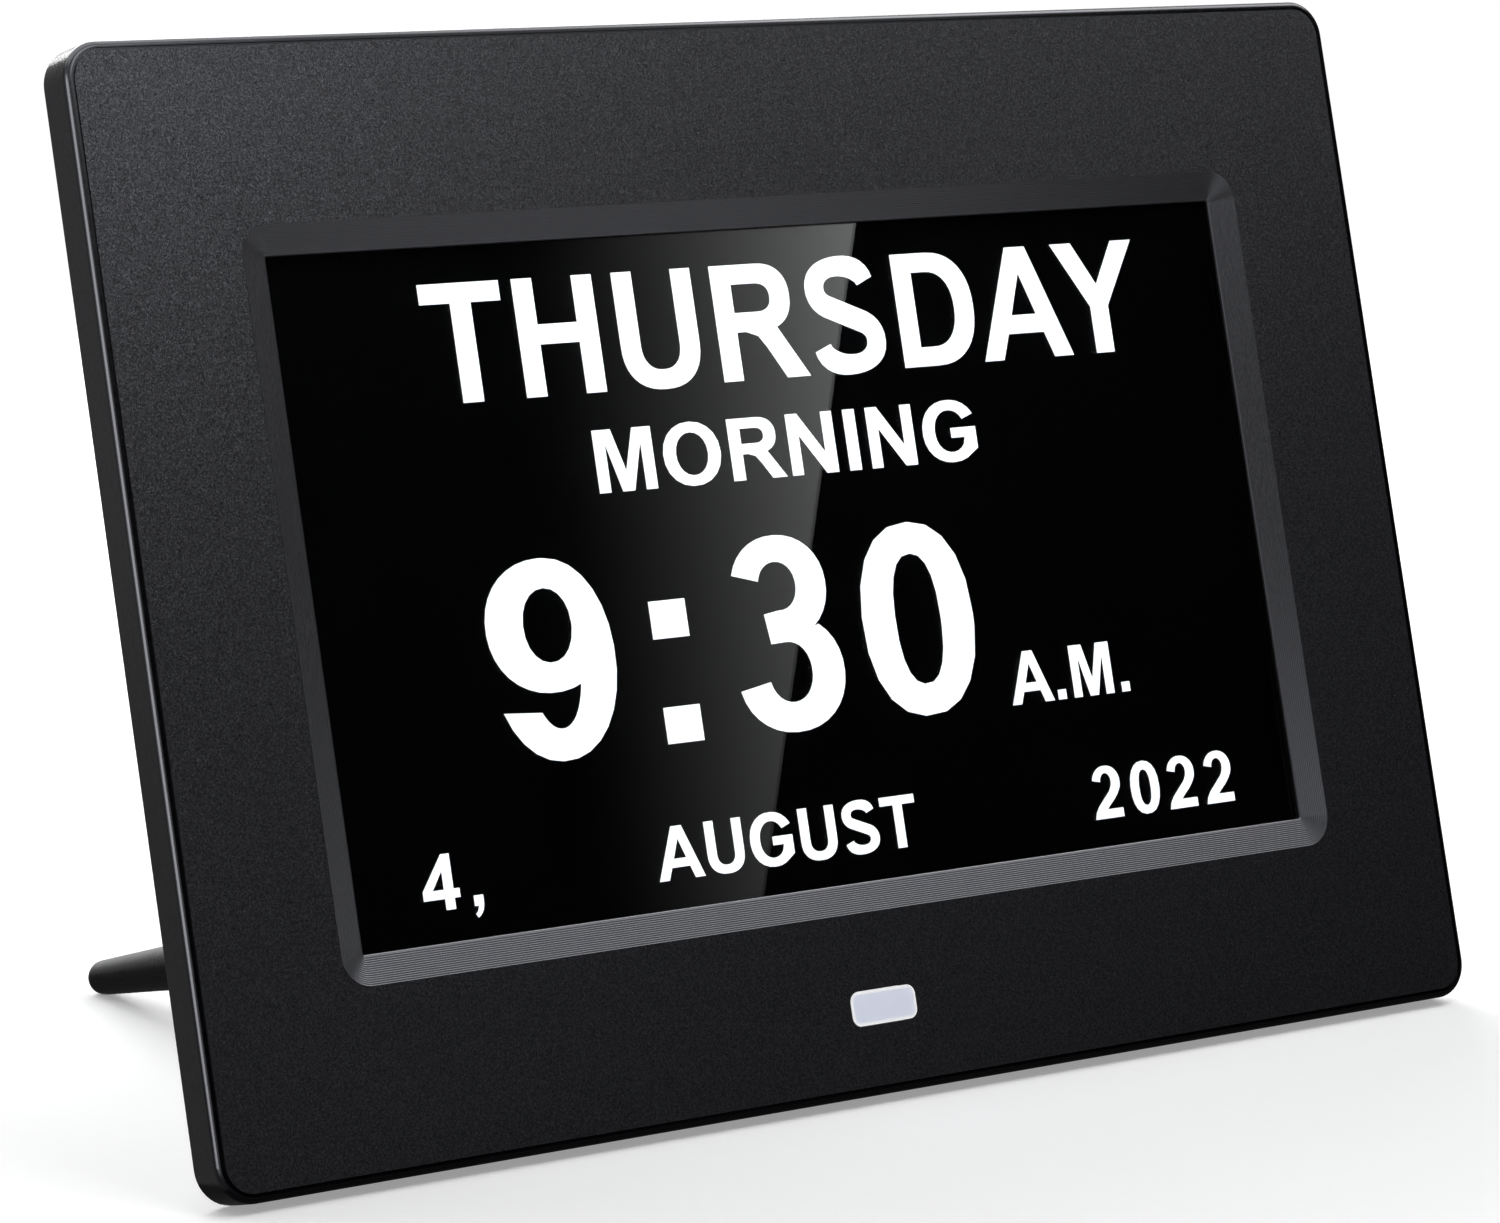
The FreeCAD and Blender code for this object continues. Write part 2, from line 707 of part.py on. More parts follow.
def panel_straps():
    straps = []
    for side in (-1, 1):
        strap = prism(strap_width, 2 * (strap_boss_z + boss_radius), boss_radius, panel_rear, strap_rear,
                      side * strap_x, 0)
        holes = [rod(x, z, cover_screw_radius + thread_play, panel_rear, strap_rear)
                 for x, z in STRAP_SCREWS]
        straps.append(strap.cut(holes))
    return separate(straps)


def strap_screws():
    return separate([screw(x, z, strap_rear, strap_rear - strap_screw_length, cover_screw_radius,
                           cover_screw_head_radius) for x, z in STRAP_SCREWS])


# ---------------------------------------------------------------- sensor
def sensor_window():
    plug = prism(sensor_window_width, sensor_window_height, sensor_window_radius, 0, face_thickness,
                 0, sensor_z)
    flange = prism(sensor_window_width + 2 * sensor_window_flange,
                   sensor_window_height + 2 * sensor_window_flange, sensor_window_radius,
                   face_thickness, face_thickness + sensor_flange_thickness, 0, sensor_z)
    return fused([plug, flange])


def sensor_board():
    board = prism(sensor_board_width, sensor_board_height, sensor_board_corner, sensor_board_depth,
                  sensor_board_depth + sensor_board_thickness, 0, sensor_board_z)
    return board.cut([rod(x, z, board_screw_radius + thread_play, sensor_board_depth,
                          sensor_board_depth + sensor_board_thickness) for x, z in SENSOR_SCREWS])


def infrared_receiver():
    front = sensor_board_depth - receiver_thickness
    body = block(receiver_x - receiver_width / 2, receiver_x + receiver_width / 2, front,
                 sensor_board_depth, sensor_z - receiver_height / 2, sensor_z + receiver_height / 2)
    dome = Part.makeSphere(receiver_dome, Vector(receiver_x, front, sensor_z))
    return fused([body, dome])


def status_lamp():
    front = face_thickness + sensor_flange_thickness + lamp_radius
    return fused([rod(lamp_x, sensor_z, lamp_radius, front, sensor_board_depth),
                  Part.makeSphere(lamp_radius, Vector(lamp_x, front, sensor_z))])


def sensor_cable():
    sensor_side = sensor_board_depth - flat_cable_thickness / 2
    main_side = main_board_depth - flat_cable_thickness / 2
    x0 = lamp_x + lamp_radius + sensor_cable_gap
    sensor_top = sensor_board_z + sensor_board_height / 2
    route = [(sensor_side, sensor_z), (sensor_side, sensor_top + flat_cable_lead),
             (main_side, sensor_top + flat_cable_lead + flat_cable_bend * 2),
             (main_side, main_board_bottom + flat_cable_hold)]
    return flat_cable(route, x0, x0 + sensor_cable_width, flat_cable_bend)


# ---------------------------------------------------------------- main board and what is on it
def drilled_board(width, height, depth, left, bottom, screws):
    board = prism(width, height, board_corner, depth, depth + board_thickness,
                  left + width / 2, bottom + height / 2)
    return board.cut([rod(x, z, board_screw_radius + thread_play, depth, depth + board_thickness)
                      for x, z in screws])


def main_board():
    return drilled_board(main_board_width, main_board_height, main_board_depth, main_board_left,
                         main_board_bottom, MAIN_BOARD_SCREWS)


def on_main_board(x, z, width, height, thickness):
    """Square-cornered part on the rear side of the main board."""
    return block(x - width / 2, x + width / 2, main_board_rear, main_board_rear + thickness,
                 z - height / 2, z + height / 2)


def processor_chip():
    return on_main_board(main_board_right - chip_column, main_board_bottom + processor_rise,
                         processor_size, processor_size, chip_thickness)


def memory_chip():
    return on_main_board(main_board_right - chip_column, main_board_bottom + memory_rise,
                         memory_width, memory_height, chip_thickness)


def power_coil():
    return on_main_board(main_board_right - coil_column, main_board_bottom + coil_rise,
                         coil_size, coil_size, coil_height)


def power_capacitors():
    x = main_board_right - capacitor_column
    z = main_board_bottom + capacitor_rise
    return separate([rod(x, z + step * capacitor_pitch, capacitor_radius, main_board_rear,
                         main_board_rear + capacitor_height) for step in (0, 1)])


def coin_cell_holder():
    outer = cell_radius + cell_play + cell_holder_wall
    floor = main_board_rear + cell_holder_floor
    rim = floor + cell_height * cell_rim_share
    holder = rod(cell_x, cell_z, outer, main_board_rear, rim)
    notch = block(cell_x - cell_notch_width / 2, cell_x + cell_notch_width / 2, floor, rim,
                  cell_z + cell_radius - cell_notch_reach, cell_z + outer)
    return holder.cut([rod(cell_x, cell_z, cell_radius + cell_play, floor, rim), notch])


def coin_cell():
    floor = main_board_rear + cell_holder_floor
    cell = rod(cell_x, cell_z, cell_radius, floor, floor + cell_height)
    return cell.makeFillet(cell_edge_radius, edges_at_depth(cell, floor + cell_height))


def power_inlet():
    half = power_inlet_width / 2
    body = block(power_left, socket_face, main_board_rear, main_board_rear + power_inlet_depth,
                 power_inlet_z - half, power_inlet_z + half)
    middle = Vector(socket_face - power_bore_length, main_board_rear + power_inlet_depth / 2, power_inlet_z)
    return body.cut(Part.makeCylinder(power_bore_radius, power_bore_length, middle, Vector(1, 0, 0)))


def power_pin():
    middle = Vector(socket_face - power_bore_length, main_board_rear + power_inlet_depth / 2, power_inlet_z)
    return Part.makeCylinder(power_pin_radius, power_bore_length - power_pin_recess, middle, Vector(1, 0, 0))


def usb_socket():
    half = usb_width / 2
    left = socket_face - usb_length
    shell = block(left, socket_face, main_board_rear, main_board_rear + usb_depth, usb_z - half, usb_z + half)
    return shell.cut(block(left + usb_sheet, socket_face, main_board_rear + usb_sheet,
                           main_board_rear + usb_depth - usb_sheet,
                           usb_z - half + usb_sheet, usb_z + half - usb_sheet))


def usb_tongue():
    half = usb_width / 2 - usb_sheet - usb_tongue_inset
    left = socket_face - usb_length + usb_sheet
    foot = block(left, left + usb_tongue_foot, main_board_rear + usb_sheet,
                 main_board_rear + usb_depth - usb_sheet, usb_z - half, usb_z + half)
    blade = block(left, socket_face - usb_tongue_recess, main_board_rear + usb_sheet,
                  main_board_rear + usb_sheet + usb_tongue_thickness, usb_z - half, usb_z + half)
    return fused([foot, blade])


def card_socket():
    half = card_width / 2
    shell = block(card_left, socket_face, main_board_rear, main_board_rear + card_depth,
                  card_z - half, card_z + half)
    low = main_board_rear + (card_depth - card_mouth_height) / 2
    return shell.cut(block(socket_face - card_mouth_length, socket_face, low, low + card_mouth_height,
                           card_z - card_mouth_width / 2, card_z + card_mouth_width / 2))


ribbon_left = main_board_right - ribbon_column - ribbon_width / 2
ribbon_right = ribbon_left + ribbon_width
ribbon_plug_z = main_board_bottom + ribbon_plug_rise


def ribbon_plug():
    return block(ribbon_left - ribbon_plug_overhang, ribbon_right + ribbon_plug_overhang,
                 main_board_depth - ribbon_plug_thickness, main_board_depth,
                 ribbon_plug_z, ribbon_plug_z + ribbon_plug_length)


def panel_ribbon():
    panel_side = panel_front + panel_sheet + cell_thickness
    plug_side = main_board_depth - ribbon_plug_thickness / 2
    bend = (plug_side - panel_side) / 2 * ribbon_bend_share
    turn_z = -panel_height / 2 - bend - flat_cable_thickness
    route = [(panel_side, -panel_height / 2), (panel_side, turn_z), (plug_side, turn_z),
             (plug_side, ribbon_plug_z)]
    return flat_cable(route, ribbon_left, ribbon_right, bend)


# ---------------------------------------------------------------- keys
def key_board():
    return drilled_board(key_board_width, key_board_height, key_board_depth, key_board_left,
                         key_board_bottom, KEY_BOARD_SCREWS)


def key_switches():
    bodies = []
    for x, z, _, _, _ in KEYS.values():
        body = prism(switch_size, switch_size, switch_corner, key_board_rear, switch_rear, x, z)
        bodies.append(body.cut(rod(x, z, plunger_radius + plunger_play,
                                   switch_rear - plunger_sink - key_travel, switch_rear)))
    return separate(bodies)


def key_plunger(name):
    x, z = KEYS[name][:2]
    return rod(x, z, plunger_radius, switch_rear - plunger_sink + key_rest_gap, key_flange_front)


def key_cap(name):
    x, z, width, height, radius = KEYS[name]
    cap = prism(width, height, radius * round_end, key_flange_rear, key_rear, x, z)
    cap = cap.makeFillet(key_edge_radius, edges_at_depth(cap, key_rear))
    flange = prism(width + 2 * key_flange, height + 2 * key_flange, radius * round_end + key_flange,
                   key_flange_front, key_flange_rear, x, z)
    return fused([cap, flange])


def key_cable():
    key_side = key_board_depth - flat_cable_thickness / 2
    main_side = main_board_depth - flat_cable_thickness / 2
    middle = key_cluster_x
    route = [(key_side, key_board_bottom + flat_cable_hold), (key_side, key_board_bottom),
             (main_side, main_board_top + flat_cable_lead), (main_side, main_board_top - flat_cable_hold)]
    return flat_cable(route, middle - key_cable_width / 2, middle + key_cable_width / 2, flat_cable_bend)


def board_screws():
    screws = [screw(x, z, main_board_depth, main_board_depth + board_screw_length,
                    board_screw_radius, board_screw_head_radius) for x, z in MAIN_BOARD_SCREWS]
    screws += [screw(x, z, key_board_depth, key_board_depth + board_screw_length,
                     board_screw_radius, board_screw_head_radius) for x, z in KEY_BOARD_SCREWS]
    seat = sensor_board_depth + sensor_board_thickness
    screws += [screw(x, z, seat, seat - board_screw_length, board_screw_radius, board_screw_head_radius)
               for x, z in SENSOR_SCREWS]
    return separate(screws)


# ---------------------------------------------------------------- speaker
magnet_front = rear_inner - speaker_sheet - speaker_depth
speaker_front = magnet_front + magnet_thickness


def speaker_cup(y_rear, y_front, wide, narrow):
    """Cone about the speaker's axis from a wide rear end to a narrow front end."""
    return Part.makeCone(wide, narrow, y_rear - y_front, Vector(speaker_x, y_rear, speaker_z),
                         Vector(0, -1, 0))


def speaker_frame():
    rim = rod(speaker_x, speaker_z, speaker_radius, rear_inner - speaker_sheet, rear_inner)
    mouth = speaker_radius - speaker_rim_width
    basket = speaker_cup(rear_inner - speaker_sheet, speaker_front, mouth + speaker_sheet, magnet_radius)
    hollow = speaker_cup(rear_inner - speaker_sheet, speaker_front + speaker_sheet, mouth,
                         magnet_radius - speaker_sheet)
    return rim.fuse(basket).cut([hollow, rod(speaker_x, speaker_z, mouth, rear_inner - speaker_sheet,
                                             rear_inner)]).removeSplitter()


def speaker_cone():
    mouth = speaker_radius - speaker_rim_width
    coil_end = speaker_front + speaker_sheet
    narrow = magnet_radius / 2
    outer = speaker_cup(rear_inner - speaker_sheet, coil_end, mouth, narrow)
    inner = speaker_cup(rear_inner - speaker_sheet, coil_end + speaker_cone_wall,
                        mouth - speaker_cone_wall, narrow - speaker_cone_wall / 2)
    return outer.cut(inner)


def speaker_magnet():
    return rod(speaker_x, speaker_z, magnet_radius, magnet_front, speaker_front)


def speaker_plug():
    return on_main_board(speaker_plug_x, speaker_plug_z, speaker_plug_size, speaker_plug_size,
                         speaker_plug_height)


def speaker_wires():
    level = main_board_rear + speaker_plug_height / 2
    wires = []
    for side in (-1, 1):
        shift = side * wire_gap
        start_z = speaker_z + shift
        start_x = speaker_x + math.sqrt(magnet_radius ** 2 - shift ** 2) + wire_start_gap
        corner_x = (speaker_x + magnet_radius + speaker_plug_x) / 2 + shift
        end_x = speaker_plug_x - speaker_plug_size / 2
        end_z = speaker_plug_z + shift
        wires.append(round_wire([Vector(start_x, level, start_z), Vector(corner_x, level, start_z),
                                 Vector(corner_x, level, end_z), Vector(end_x, level, end_z)],
                                wire_radius, wire_bend))
    return separate(wires)


# ---------------------------------------------------------------- stand peg
def peg_insert():
    return rod(peg_x, peg_z, insert_radius, insert_front, peg_seat).cut(
        rod(peg_x, peg_z, stud_radius + stud_play, insert_front, peg_seat))


def peg_washer():
    return rod(peg_x, peg_z, washer_radius, peg_seat, peg_root).cut(
        rod(peg_x, peg_z, stud_radius + stud_play, peg_seat, peg_root))


def stand_peg():
    """Tapered round peg, its side tangent to the rounded tip."""
    half_taper = tangent_angle(peg_root_radius, peg_reach - peg_root, peg_tip_radius)

    def on_tip(angle):
        return Vector(peg_tip_radius * math.cos(angle), peg_reach + peg_tip_radius * math.sin(angle), 0)

    touch = on_tip(half_taper)
    middle = on_tip((math.pi / 2 + half_taper) / 2)
    tip = on_tip(math.pi / 2)
    root = Vector(0, peg_root, 0)
    chamfer_start = Vector(peg_root_radius - peg_root_edge, peg_root, 0)
    chamfer_end = Vector(peg_root_radius, peg_root + peg_root_edge, 0)
    profile = Part.Wire([Part.makeLine(root, chamfer_start), Part.makeLine(chamfer_start, chamfer_end),
                         Part.makeLine(chamfer_end, touch), Part.Arc(touch, middle, tip).toShape(),
                         Part.makeLine(tip, root)])
    peg = Part.Face(profile).revolve(Vector(0, 0, 0), Vector(0, 1, 0), 360)
    peg.translate(Vector(peg_x, 0, peg_z))
    return peg.cut(rod(peg_x, peg_z, stud_radius, peg_root, peg_root + stud_buried))


def peg_stud():
    return rod(peg_x, peg_z, stud_radius, peg_root - stud_length, peg_root + stud_buried)


# ---------------------------------------------------------------- all pieces
nodes = {
    "front_bezel": front_bezel(),
    "rear_cover": rear_cover(),
    "cover_screws": cover_screws(),
    "lens_gasket": lens_gasket(),
    "screen_lens": screen_lens(),
    "panel_frame": panel_frame(),
    "panel_cell": panel_cell(),
    "backlight_unit": backlight_unit(),
    "panel_straps": panel_straps(),
    "strap_screws": strap_screws(),
    "sensor_window": sensor_window(),
    "sensor_board": sensor_board(),
    "infrared_receiver": infrared_receiver(),
    "status_lamp": status_lamp(),
    "sensor_cable": sensor_cable(),
    "main_board": main_board(),
    "processor_chip": processor_chip(),
    "memory_chip": memory_chip(),
    "power_coil": power_coil(),
    "power_capacitors": power_capacitors(),
    "coin_cell_holder": coin_cell_holder(),
    "coin_cell": coin_cell(),
    "power_inlet": power_inlet(),
    "power_pin": power_pin(),
    "usb_socket": usb_socket(),
    "usb_tongue": usb_tongue(),
    "card_socket": card_socket(),
    "ribbon_plug": ribbon_plug(),
    "panel_ribbon": panel_ribbon(),
    "key_board": key_board(),
    "key_switches": key_switches(),
    "key_cable": key_cable(),
    "board_screws": board_screws(),
    "speaker_frame": speaker_frame(),
    "speaker_cone": speaker_cone(),
    "speaker_magnet": speaker_magnet(),
    "speaker_plug": speaker_plug(),
    "speaker_wires": speaker_wires(),
    "peg_insert": peg_insert(),
    "peg_washer": peg_washer(),
    "stand_peg": stand_peg(),
    "peg_stud": peg_stud(),
}
for key_name in KEYS:
    nodes["key_" + key_name] = key_cap(key_name)
    nodes["plunger_" + key_name] = key_plunger(key_name)

# ---------------------------------------------------------------- stand the clock on the ground
TURN_AXIS = Vector(1, 0, 0)


def leaned(depth, z):
    """Where a point of the case frame goes when the case leans back, before it is moved to the ground."""
    return depth * math.cos(lean) + z * math.sin(lean), z * math.cos(lean) - depth * math.sin(lean)


edge_depth = bezel_depth - rear_edge_radius
lowest = leaned(edge_depth, case_bottom + rear_edge_radius)[1] - rear_edge_radius
furthest_back = leaned(peg_reach, peg_z)[0] + peg_tip_radius
foremost = leaned(front_edge_radius, case_bottom + front_edge_radius)[0] - front_edge_radius
offset = Vector(0, -(foremost + furthest_back) / 2, -lowest)


def placed(shape):
    """Lean the case back and put the whole clock's bottom centre at the origin."""
    shape = shape.copy()
    shape.rotate(Vector(0, 0, 0), TURN_AXIS, -math.degrees(lean))
    shape.translate(offset)
    return shape


os.makedirs("parts", exist_ok=True)
for name, shape in nodes.items():
    placed(shape).exportStep("parts/" + name + ".step")
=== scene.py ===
"""Day clock: finishes, ribbed window surround, lit words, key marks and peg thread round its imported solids.

Sizes inside the script are millimetres in the case's own frame: x to the viewer's right, depth into the
case from its front face, z up along the face, with the origin at the middle of the screen window.
placed() turns them into metres in the row frame.
"""

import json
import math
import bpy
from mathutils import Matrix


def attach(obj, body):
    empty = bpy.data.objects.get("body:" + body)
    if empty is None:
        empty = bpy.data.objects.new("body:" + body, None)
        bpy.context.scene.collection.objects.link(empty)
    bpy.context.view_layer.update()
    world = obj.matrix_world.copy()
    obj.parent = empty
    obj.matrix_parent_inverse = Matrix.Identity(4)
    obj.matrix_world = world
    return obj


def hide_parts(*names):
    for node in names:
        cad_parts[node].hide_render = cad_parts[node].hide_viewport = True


bl_info = {
    "name": "Day clock dressing",
    "version": (1, 0, 0),
    "blender": (4, 5, 0),
    "location": "View3D > Sidebar > Day clock",
    "description": "Finishes, ribs, display words, key marks, peg thread and studio of a leaning day clock",
    "category": "Object",
}

import bmesh
import bpy
import numpy as np
from bpy.props import FloatProperty, FloatVectorProperty, IntProperty, PointerProperty
from mathutils import Vector
from mathutils.geometry import tessellate_polygon

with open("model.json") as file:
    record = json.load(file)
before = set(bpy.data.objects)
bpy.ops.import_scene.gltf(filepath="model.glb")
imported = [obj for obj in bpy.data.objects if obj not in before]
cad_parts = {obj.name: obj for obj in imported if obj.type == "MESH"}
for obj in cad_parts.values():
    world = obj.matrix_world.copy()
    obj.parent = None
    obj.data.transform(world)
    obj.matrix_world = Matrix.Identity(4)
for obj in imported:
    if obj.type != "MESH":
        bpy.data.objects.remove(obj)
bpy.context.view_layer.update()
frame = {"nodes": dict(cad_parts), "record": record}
NODES = frame["nodes"]
MM = 0.001

# ---------------------------------------------------------------- the case's own frame, read from the solids
MOUNTS = {mount["name"]: mount for mount in frame["record"]["mounts"]}
RIGHT = np.array([1.0, 0.0, 0.0])
REAR = np.array(MOUNTS["wall_face"]["axis"]) / np.linalg.norm(MOUNTS["wall_face"]["axis"])
UP = np.cross(RIGHT, REAR)


def points_of(name):
    """All corners of a CAD node as one array, in metres."""
    mesh = NODES[name].data
    flat = np.empty(len(mesh.vertices) * 3, np.float32)
    mesh.vertices.foreach_get("co", flat)
    return flat.reshape(-1, 3).astype(float)


def reach(name, way):
    """Lowest and highest reach of a CAD node along a direction, in metres."""
    along = points_of(name) @ way
    return along.min(), along.max()


ORIGIN = RIGHT * np.mean(reach("front_bezel", RIGHT)) + UP * np.mean(reach("front_bezel", UP))
ORIGIN = ORIGIN + REAR * reach("front_bezel", REAR)[0]


def span(name, way):
    """Reach of a CAD node along a direction, from the case's origin, in millimetres."""
    low, high = reach(name, way)
    start = ORIGIN @ way
    return (low - start) / MM, (high - start) / MM


def placed(x, depth, z):
    """Row-frame points in metres: origin + x right + depth rear + z up, each in millimetres."""
    x, depth, z = np.broadcast_arrays(x, depth, z)
    return ORIGIN + (x[..., None] * RIGHT + depth[..., None] * REAR + z[..., None] * UP) * MM


# sizes that follow from the solids, mm
CASE_HALF = (span("front_bezel", RIGHT)[1], span("front_bezel", UP)[1])
LENS_FRONT, LENS_REAR = span("screen_lens", REAR)
CELL_FRONT = span("panel_cell", REAR)[0]
PEG_X = np.mean(span("peg_washer", RIGHT))
PEG_Z = np.mean(span("peg_washer", UP))
PEG_ROOT = span("peg_washer", REAR)[1]
STUD_START, STUD_END = span("peg_stud", REAR)

# window surround, mm: the solid bezel's sloped face, which the ribs lie on
WINDOW_HALF = (77.5, 44.25)
BEVEL_WIDTH = 3.9
BEVEL_DROP = 1.27
BEVEL_INNER_RADIUS = 0.3
BEVEL_COVER = 0.003               # how far the ribs' roots stand over the solid at its outer edge
LIP_DEPTH = 1.5                   # where the window's wall ends, at the gasket
RIB_COUNT = 14

# the sensor window: the flange hidden behind the face, and the corner radius, mm
SENSOR_FLANGE = 1.2
SENSOR_RADIUS = 1.3
SENSOR_PAINTED_RIM = (0.45, 0.2)          # a painted highlight whitens the window's edge between these distances from it

# the fine line round the grained face, and how far the grain reaches, mm
CORNER_RADIUS = 5.0
LINE_INSET = 1.1                  # from the case's outline to the middle of the line
LINE_BLUR = 0.05                  # the grain fades over this much to each side of it
FACE_DEPTH = (0.03, 0.12)         # the face's grain fades out between these depths
WALL_DEPTH = (0.8, 1.1)           # the outer walls' grain sets in between these depths
WALL_GRAIN = 0.5                  # how strong the grain is on the outer walls, against the face

# camera, solved for the viewing angle
CAMERA_PLACE = (-0.429383, -0.623622, 0.174616)
CAMERA_YAW = 35.5861
CAMERA_PITCH = 8.2412
CAMERA_LENS = 131.645
CAMERA_SHIFT = (0.010148, -0.031787)

# soft lamps round the clock: name, turn to the right of its front and height in degrees, distance and
# size in metres, power in watts
LAMP_MIDDLE = (0.0, 0.0, 0.07)
LAMPS = (
    ("lamp_near", -8, 46, 0.3, (0.14, 0.1), 0.21),
    ("lamp_right", 76, 45, 0.6, (0.3, 0.3), 1.3),
    ("lamp_back", -150, 45, 0.9, (0.8, 0.6), 3.2),
    ("lamp_rear", 162, 35, 0.9, (0.7, 0.5), 6.0),
)
# lamps that light one piece alone, in the same terms
PIECE_LAMPS = {
    "bevel_ribs": ("lamp_upper_slope", 22, -1, 0.28, (0.18, 0.06), 0.08),
    "front_bezel": ("lamp_left_edge", -66, 12, 0.9, (0.6, 0.5), 6.6),
}


# ---------------------------------------------------------------- colours and shader nodes
PAINTED_COOL_SHEEN = "#f4f6ff"         # painted cool tint on the gloss of the plastics, standing in for faintly blue light in their reflections
DARK, LIGHT, COLOUR = 6, 7, 2  # a Mix node's two colour inputs, and its colour output


def linear(code):
    """Linear RGBA of an sRGB hex colour."""
    values = [int(code[i:i + 2], 16) / 255 for i in (1, 3, 5)]
    return tuple(v / 12.92 if v <= 0.04045 else ((v + 0.055) / 1.055) ** 2.4 for v in values) + (1.0,)


def add(tree, kind, inputs=None, **settings):
    """Adds a node: settings are its own properties; inputs are values, hex colours, or what to link from.

    That is a socket, or a node, which stands for its first output.
    """
    made = tree.nodes.new("ShaderNode" + kind)
    for name, value in settings.items():
        setattr(made, name, value)
    for name, value in (inputs or {}).items():
        if isinstance(value, bpy.types.Node):
            value = value.outputs[0]
        if isinstance(value, str):
            value = linear(value)
        if isinstance(value, bpy.types.NodeSocket):
            tree.links.new(value, made.inputs[name])
        else:
            made.inputs[name].default_value = value
    return made


def blank_material(name):
    """A new material and its empty node tree."""
    material = bpy.data.materials.new(name)
    material.use_nodes = True
    material.node_tree.nodes.clear()
    return material, material.node_tree


def case_point(tree, here):
    """Object coordinates turned to the case's own axes, in metres: x, depth and z."""
    spot = add(tree, "VectorMath", {0: here, 1: tuple(ORIGIN)}, operation="SUBTRACT")
    parts = [add(tree, "VectorMath", {0: spot, 1: tuple(way)}, operation="DOT_PRODUCT")
             for way in (RIGHT, REAR, UP)]
    return add(tree, "CombineXYZ", {i: part.outputs["Value"] for i, part in enumerate(parts)})


def patches(tree, where, size_mm, low, high, detail=2.0, roughness=0.5, spread=(0.3, 0.7)):
    """Soft patches about size_mm across, whose value goes from low to high over the noise's spread."""
    cloud = add(tree, "TexNoise", {"Vector": where, "Scale": 1 / (size_mm * MM), "Detail": detail,
                                   "Roughness": roughness})
    return add(tree, "MapRange", {"Value": cloud, "From Min": spread[0], "From Max": spread[1], "To Min": low,
                                  "To Max": high})


def mottled(tree, where, size_mm, dark, light, detail=2.0):
    """Patches about size_mm across that shade between two hex colours."""
    cloud = add(tree, "TexNoise", {"Vector": where, "Scale": 1 / (size_mm * MM), "Detail": detail,
                                   "Roughness": 0.5})
    return add(tree, "Mix", {0: cloud, DARK: dark, LIGHT: light}, data_type="RGBA").outputs[COLOUR]


def grained(tree, where, size_mm, depth_mm, detail=2.0, roughness=0.5):
    """Normal of an uneven surface: bumps about size_mm across that stand depth_mm tall."""
    height = add(tree, "TexNoise", {"Vector": where, "Scale": 1 / (size_mm * MM), "Detail": detail,
                                    "Roughness": roughness})
    return add(tree, "Bump", {"Height": height, "Distance": depth_mm * MM, "Strength": 1.0})


def celled(tree, where, size_mm, depth_mm):
    """Normal of a surface of round pits about size_mm apart and depth_mm deep."""
    pits = add(tree, "TexVoronoi", {"Vector": where, "Scale": 1 / (size_mm * MM)})
    return add(tree, "Bump", {"Height": pits, "Distance": depth_mm * MM, "Strength": 1.0})


def picture_cells(tree, here, look, dark, light):
    """Checks at the pitch of the display's picture cells, in two hex colours."""
    scale = 1 / (look.pixel_pitch * MM)
    where = add(tree, "VectorMath", {0: case_point(tree, here), "Scale": scale}, operation="SCALE")
    checks = add(tree, "TexChecker", {"Vector": where, "Scale": 1.0}).outputs["Fac"]
    return add(tree, "Mix", {0: checks, DARK: dark, LIGHT: light}, data_type="RGBA").outputs[COLOUR]


def beyond_corners(tree, where, middle, half):
    """Distance outside a box: the length of max(|where - middle| - half, 0)."""
    centred = add(tree, "VectorMath", {0: where, 1: middle}, operation="SUBTRACT")
    folded = add(tree, "VectorMath", {0: centred}, operation="ABSOLUTE")
    beyond = add(tree, "VectorMath", {0: folded, 1: half}, operation="SUBTRACT")
    kept = add(tree, "VectorMath", {0: beyond, 1: (0.0, 0.0, 0.0)}, operation="MAXIMUM")
    return add(tree, "VectorMath", {0: kept}, operation="LENGTH").outputs["Value"]


def grained_face(tree, where):
    """1 on the flat face inside the fine line, 0 on the case's edges, walls and slopes.

    Distance from the box of the corners' middles, against the corner radius less the line's inset; and depth.
    """
    half = [(whole - CORNER_RADIUS) * MM for whole in CASE_HALF]
    away = beyond_corners(tree, where, (0.0, 0.0, 0.0), (half[0], 1.0, half[1]))
    edge = CORNER_RADIUS - LINE_INSET
    within = add(tree, "MapRange", {"Value": away, "From Min": (edge - LINE_BLUR) * MM,
                                    "From Max": (edge + LINE_BLUR) * MM, "To Min": 1.0, "To Max": 0.0})
    depth = add(tree, "SeparateXYZ", {0: where}).outputs["Y"]
    level = add(tree, "MapRange", {"Value": depth, "From Min": FACE_DEPTH[0] * MM,
                                   "From Max": FACE_DEPTH[1] * MM, "To Min": 1.0, "To Max": 0.0})
    return add(tree, "Math", {0: within, 1: level}, operation="MULTIPLY")


def grained_wall(tree, where):
    """0 on the rounded front edge, rising to WALL_GRAIN on the outer walls behind it."""
    depth = add(tree, "SeparateXYZ", {0: where}).outputs["Y"]
    return add(tree, "MapRange", {"Value": depth, "From Min": WALL_DEPTH[0] * MM,
                                  "From Max": WALL_DEPTH[1] * MM, "To Max": WALL_GRAIN})


def crater_normal(tree, own, tilt):
    """Normal of a spark-eroded surface: each small crater leans its own way, by up to half the tilt."""
    lean = add(tree, "VectorMath", {0: own, 1: (0.5, 0.5, 0.5)}, operation="SUBTRACT")
    lean = add(tree, "VectorMath", {0: lean, "Scale": tilt}, operation="SCALE")
    flat = add(tree, "NewGeometry").outputs["Normal"]
    whole = add(tree, "VectorMath", {0: flat, 1: lean}, operation="ADD")
    return add(tree, "VectorMath", {0: whole}, operation="NORMALIZE")


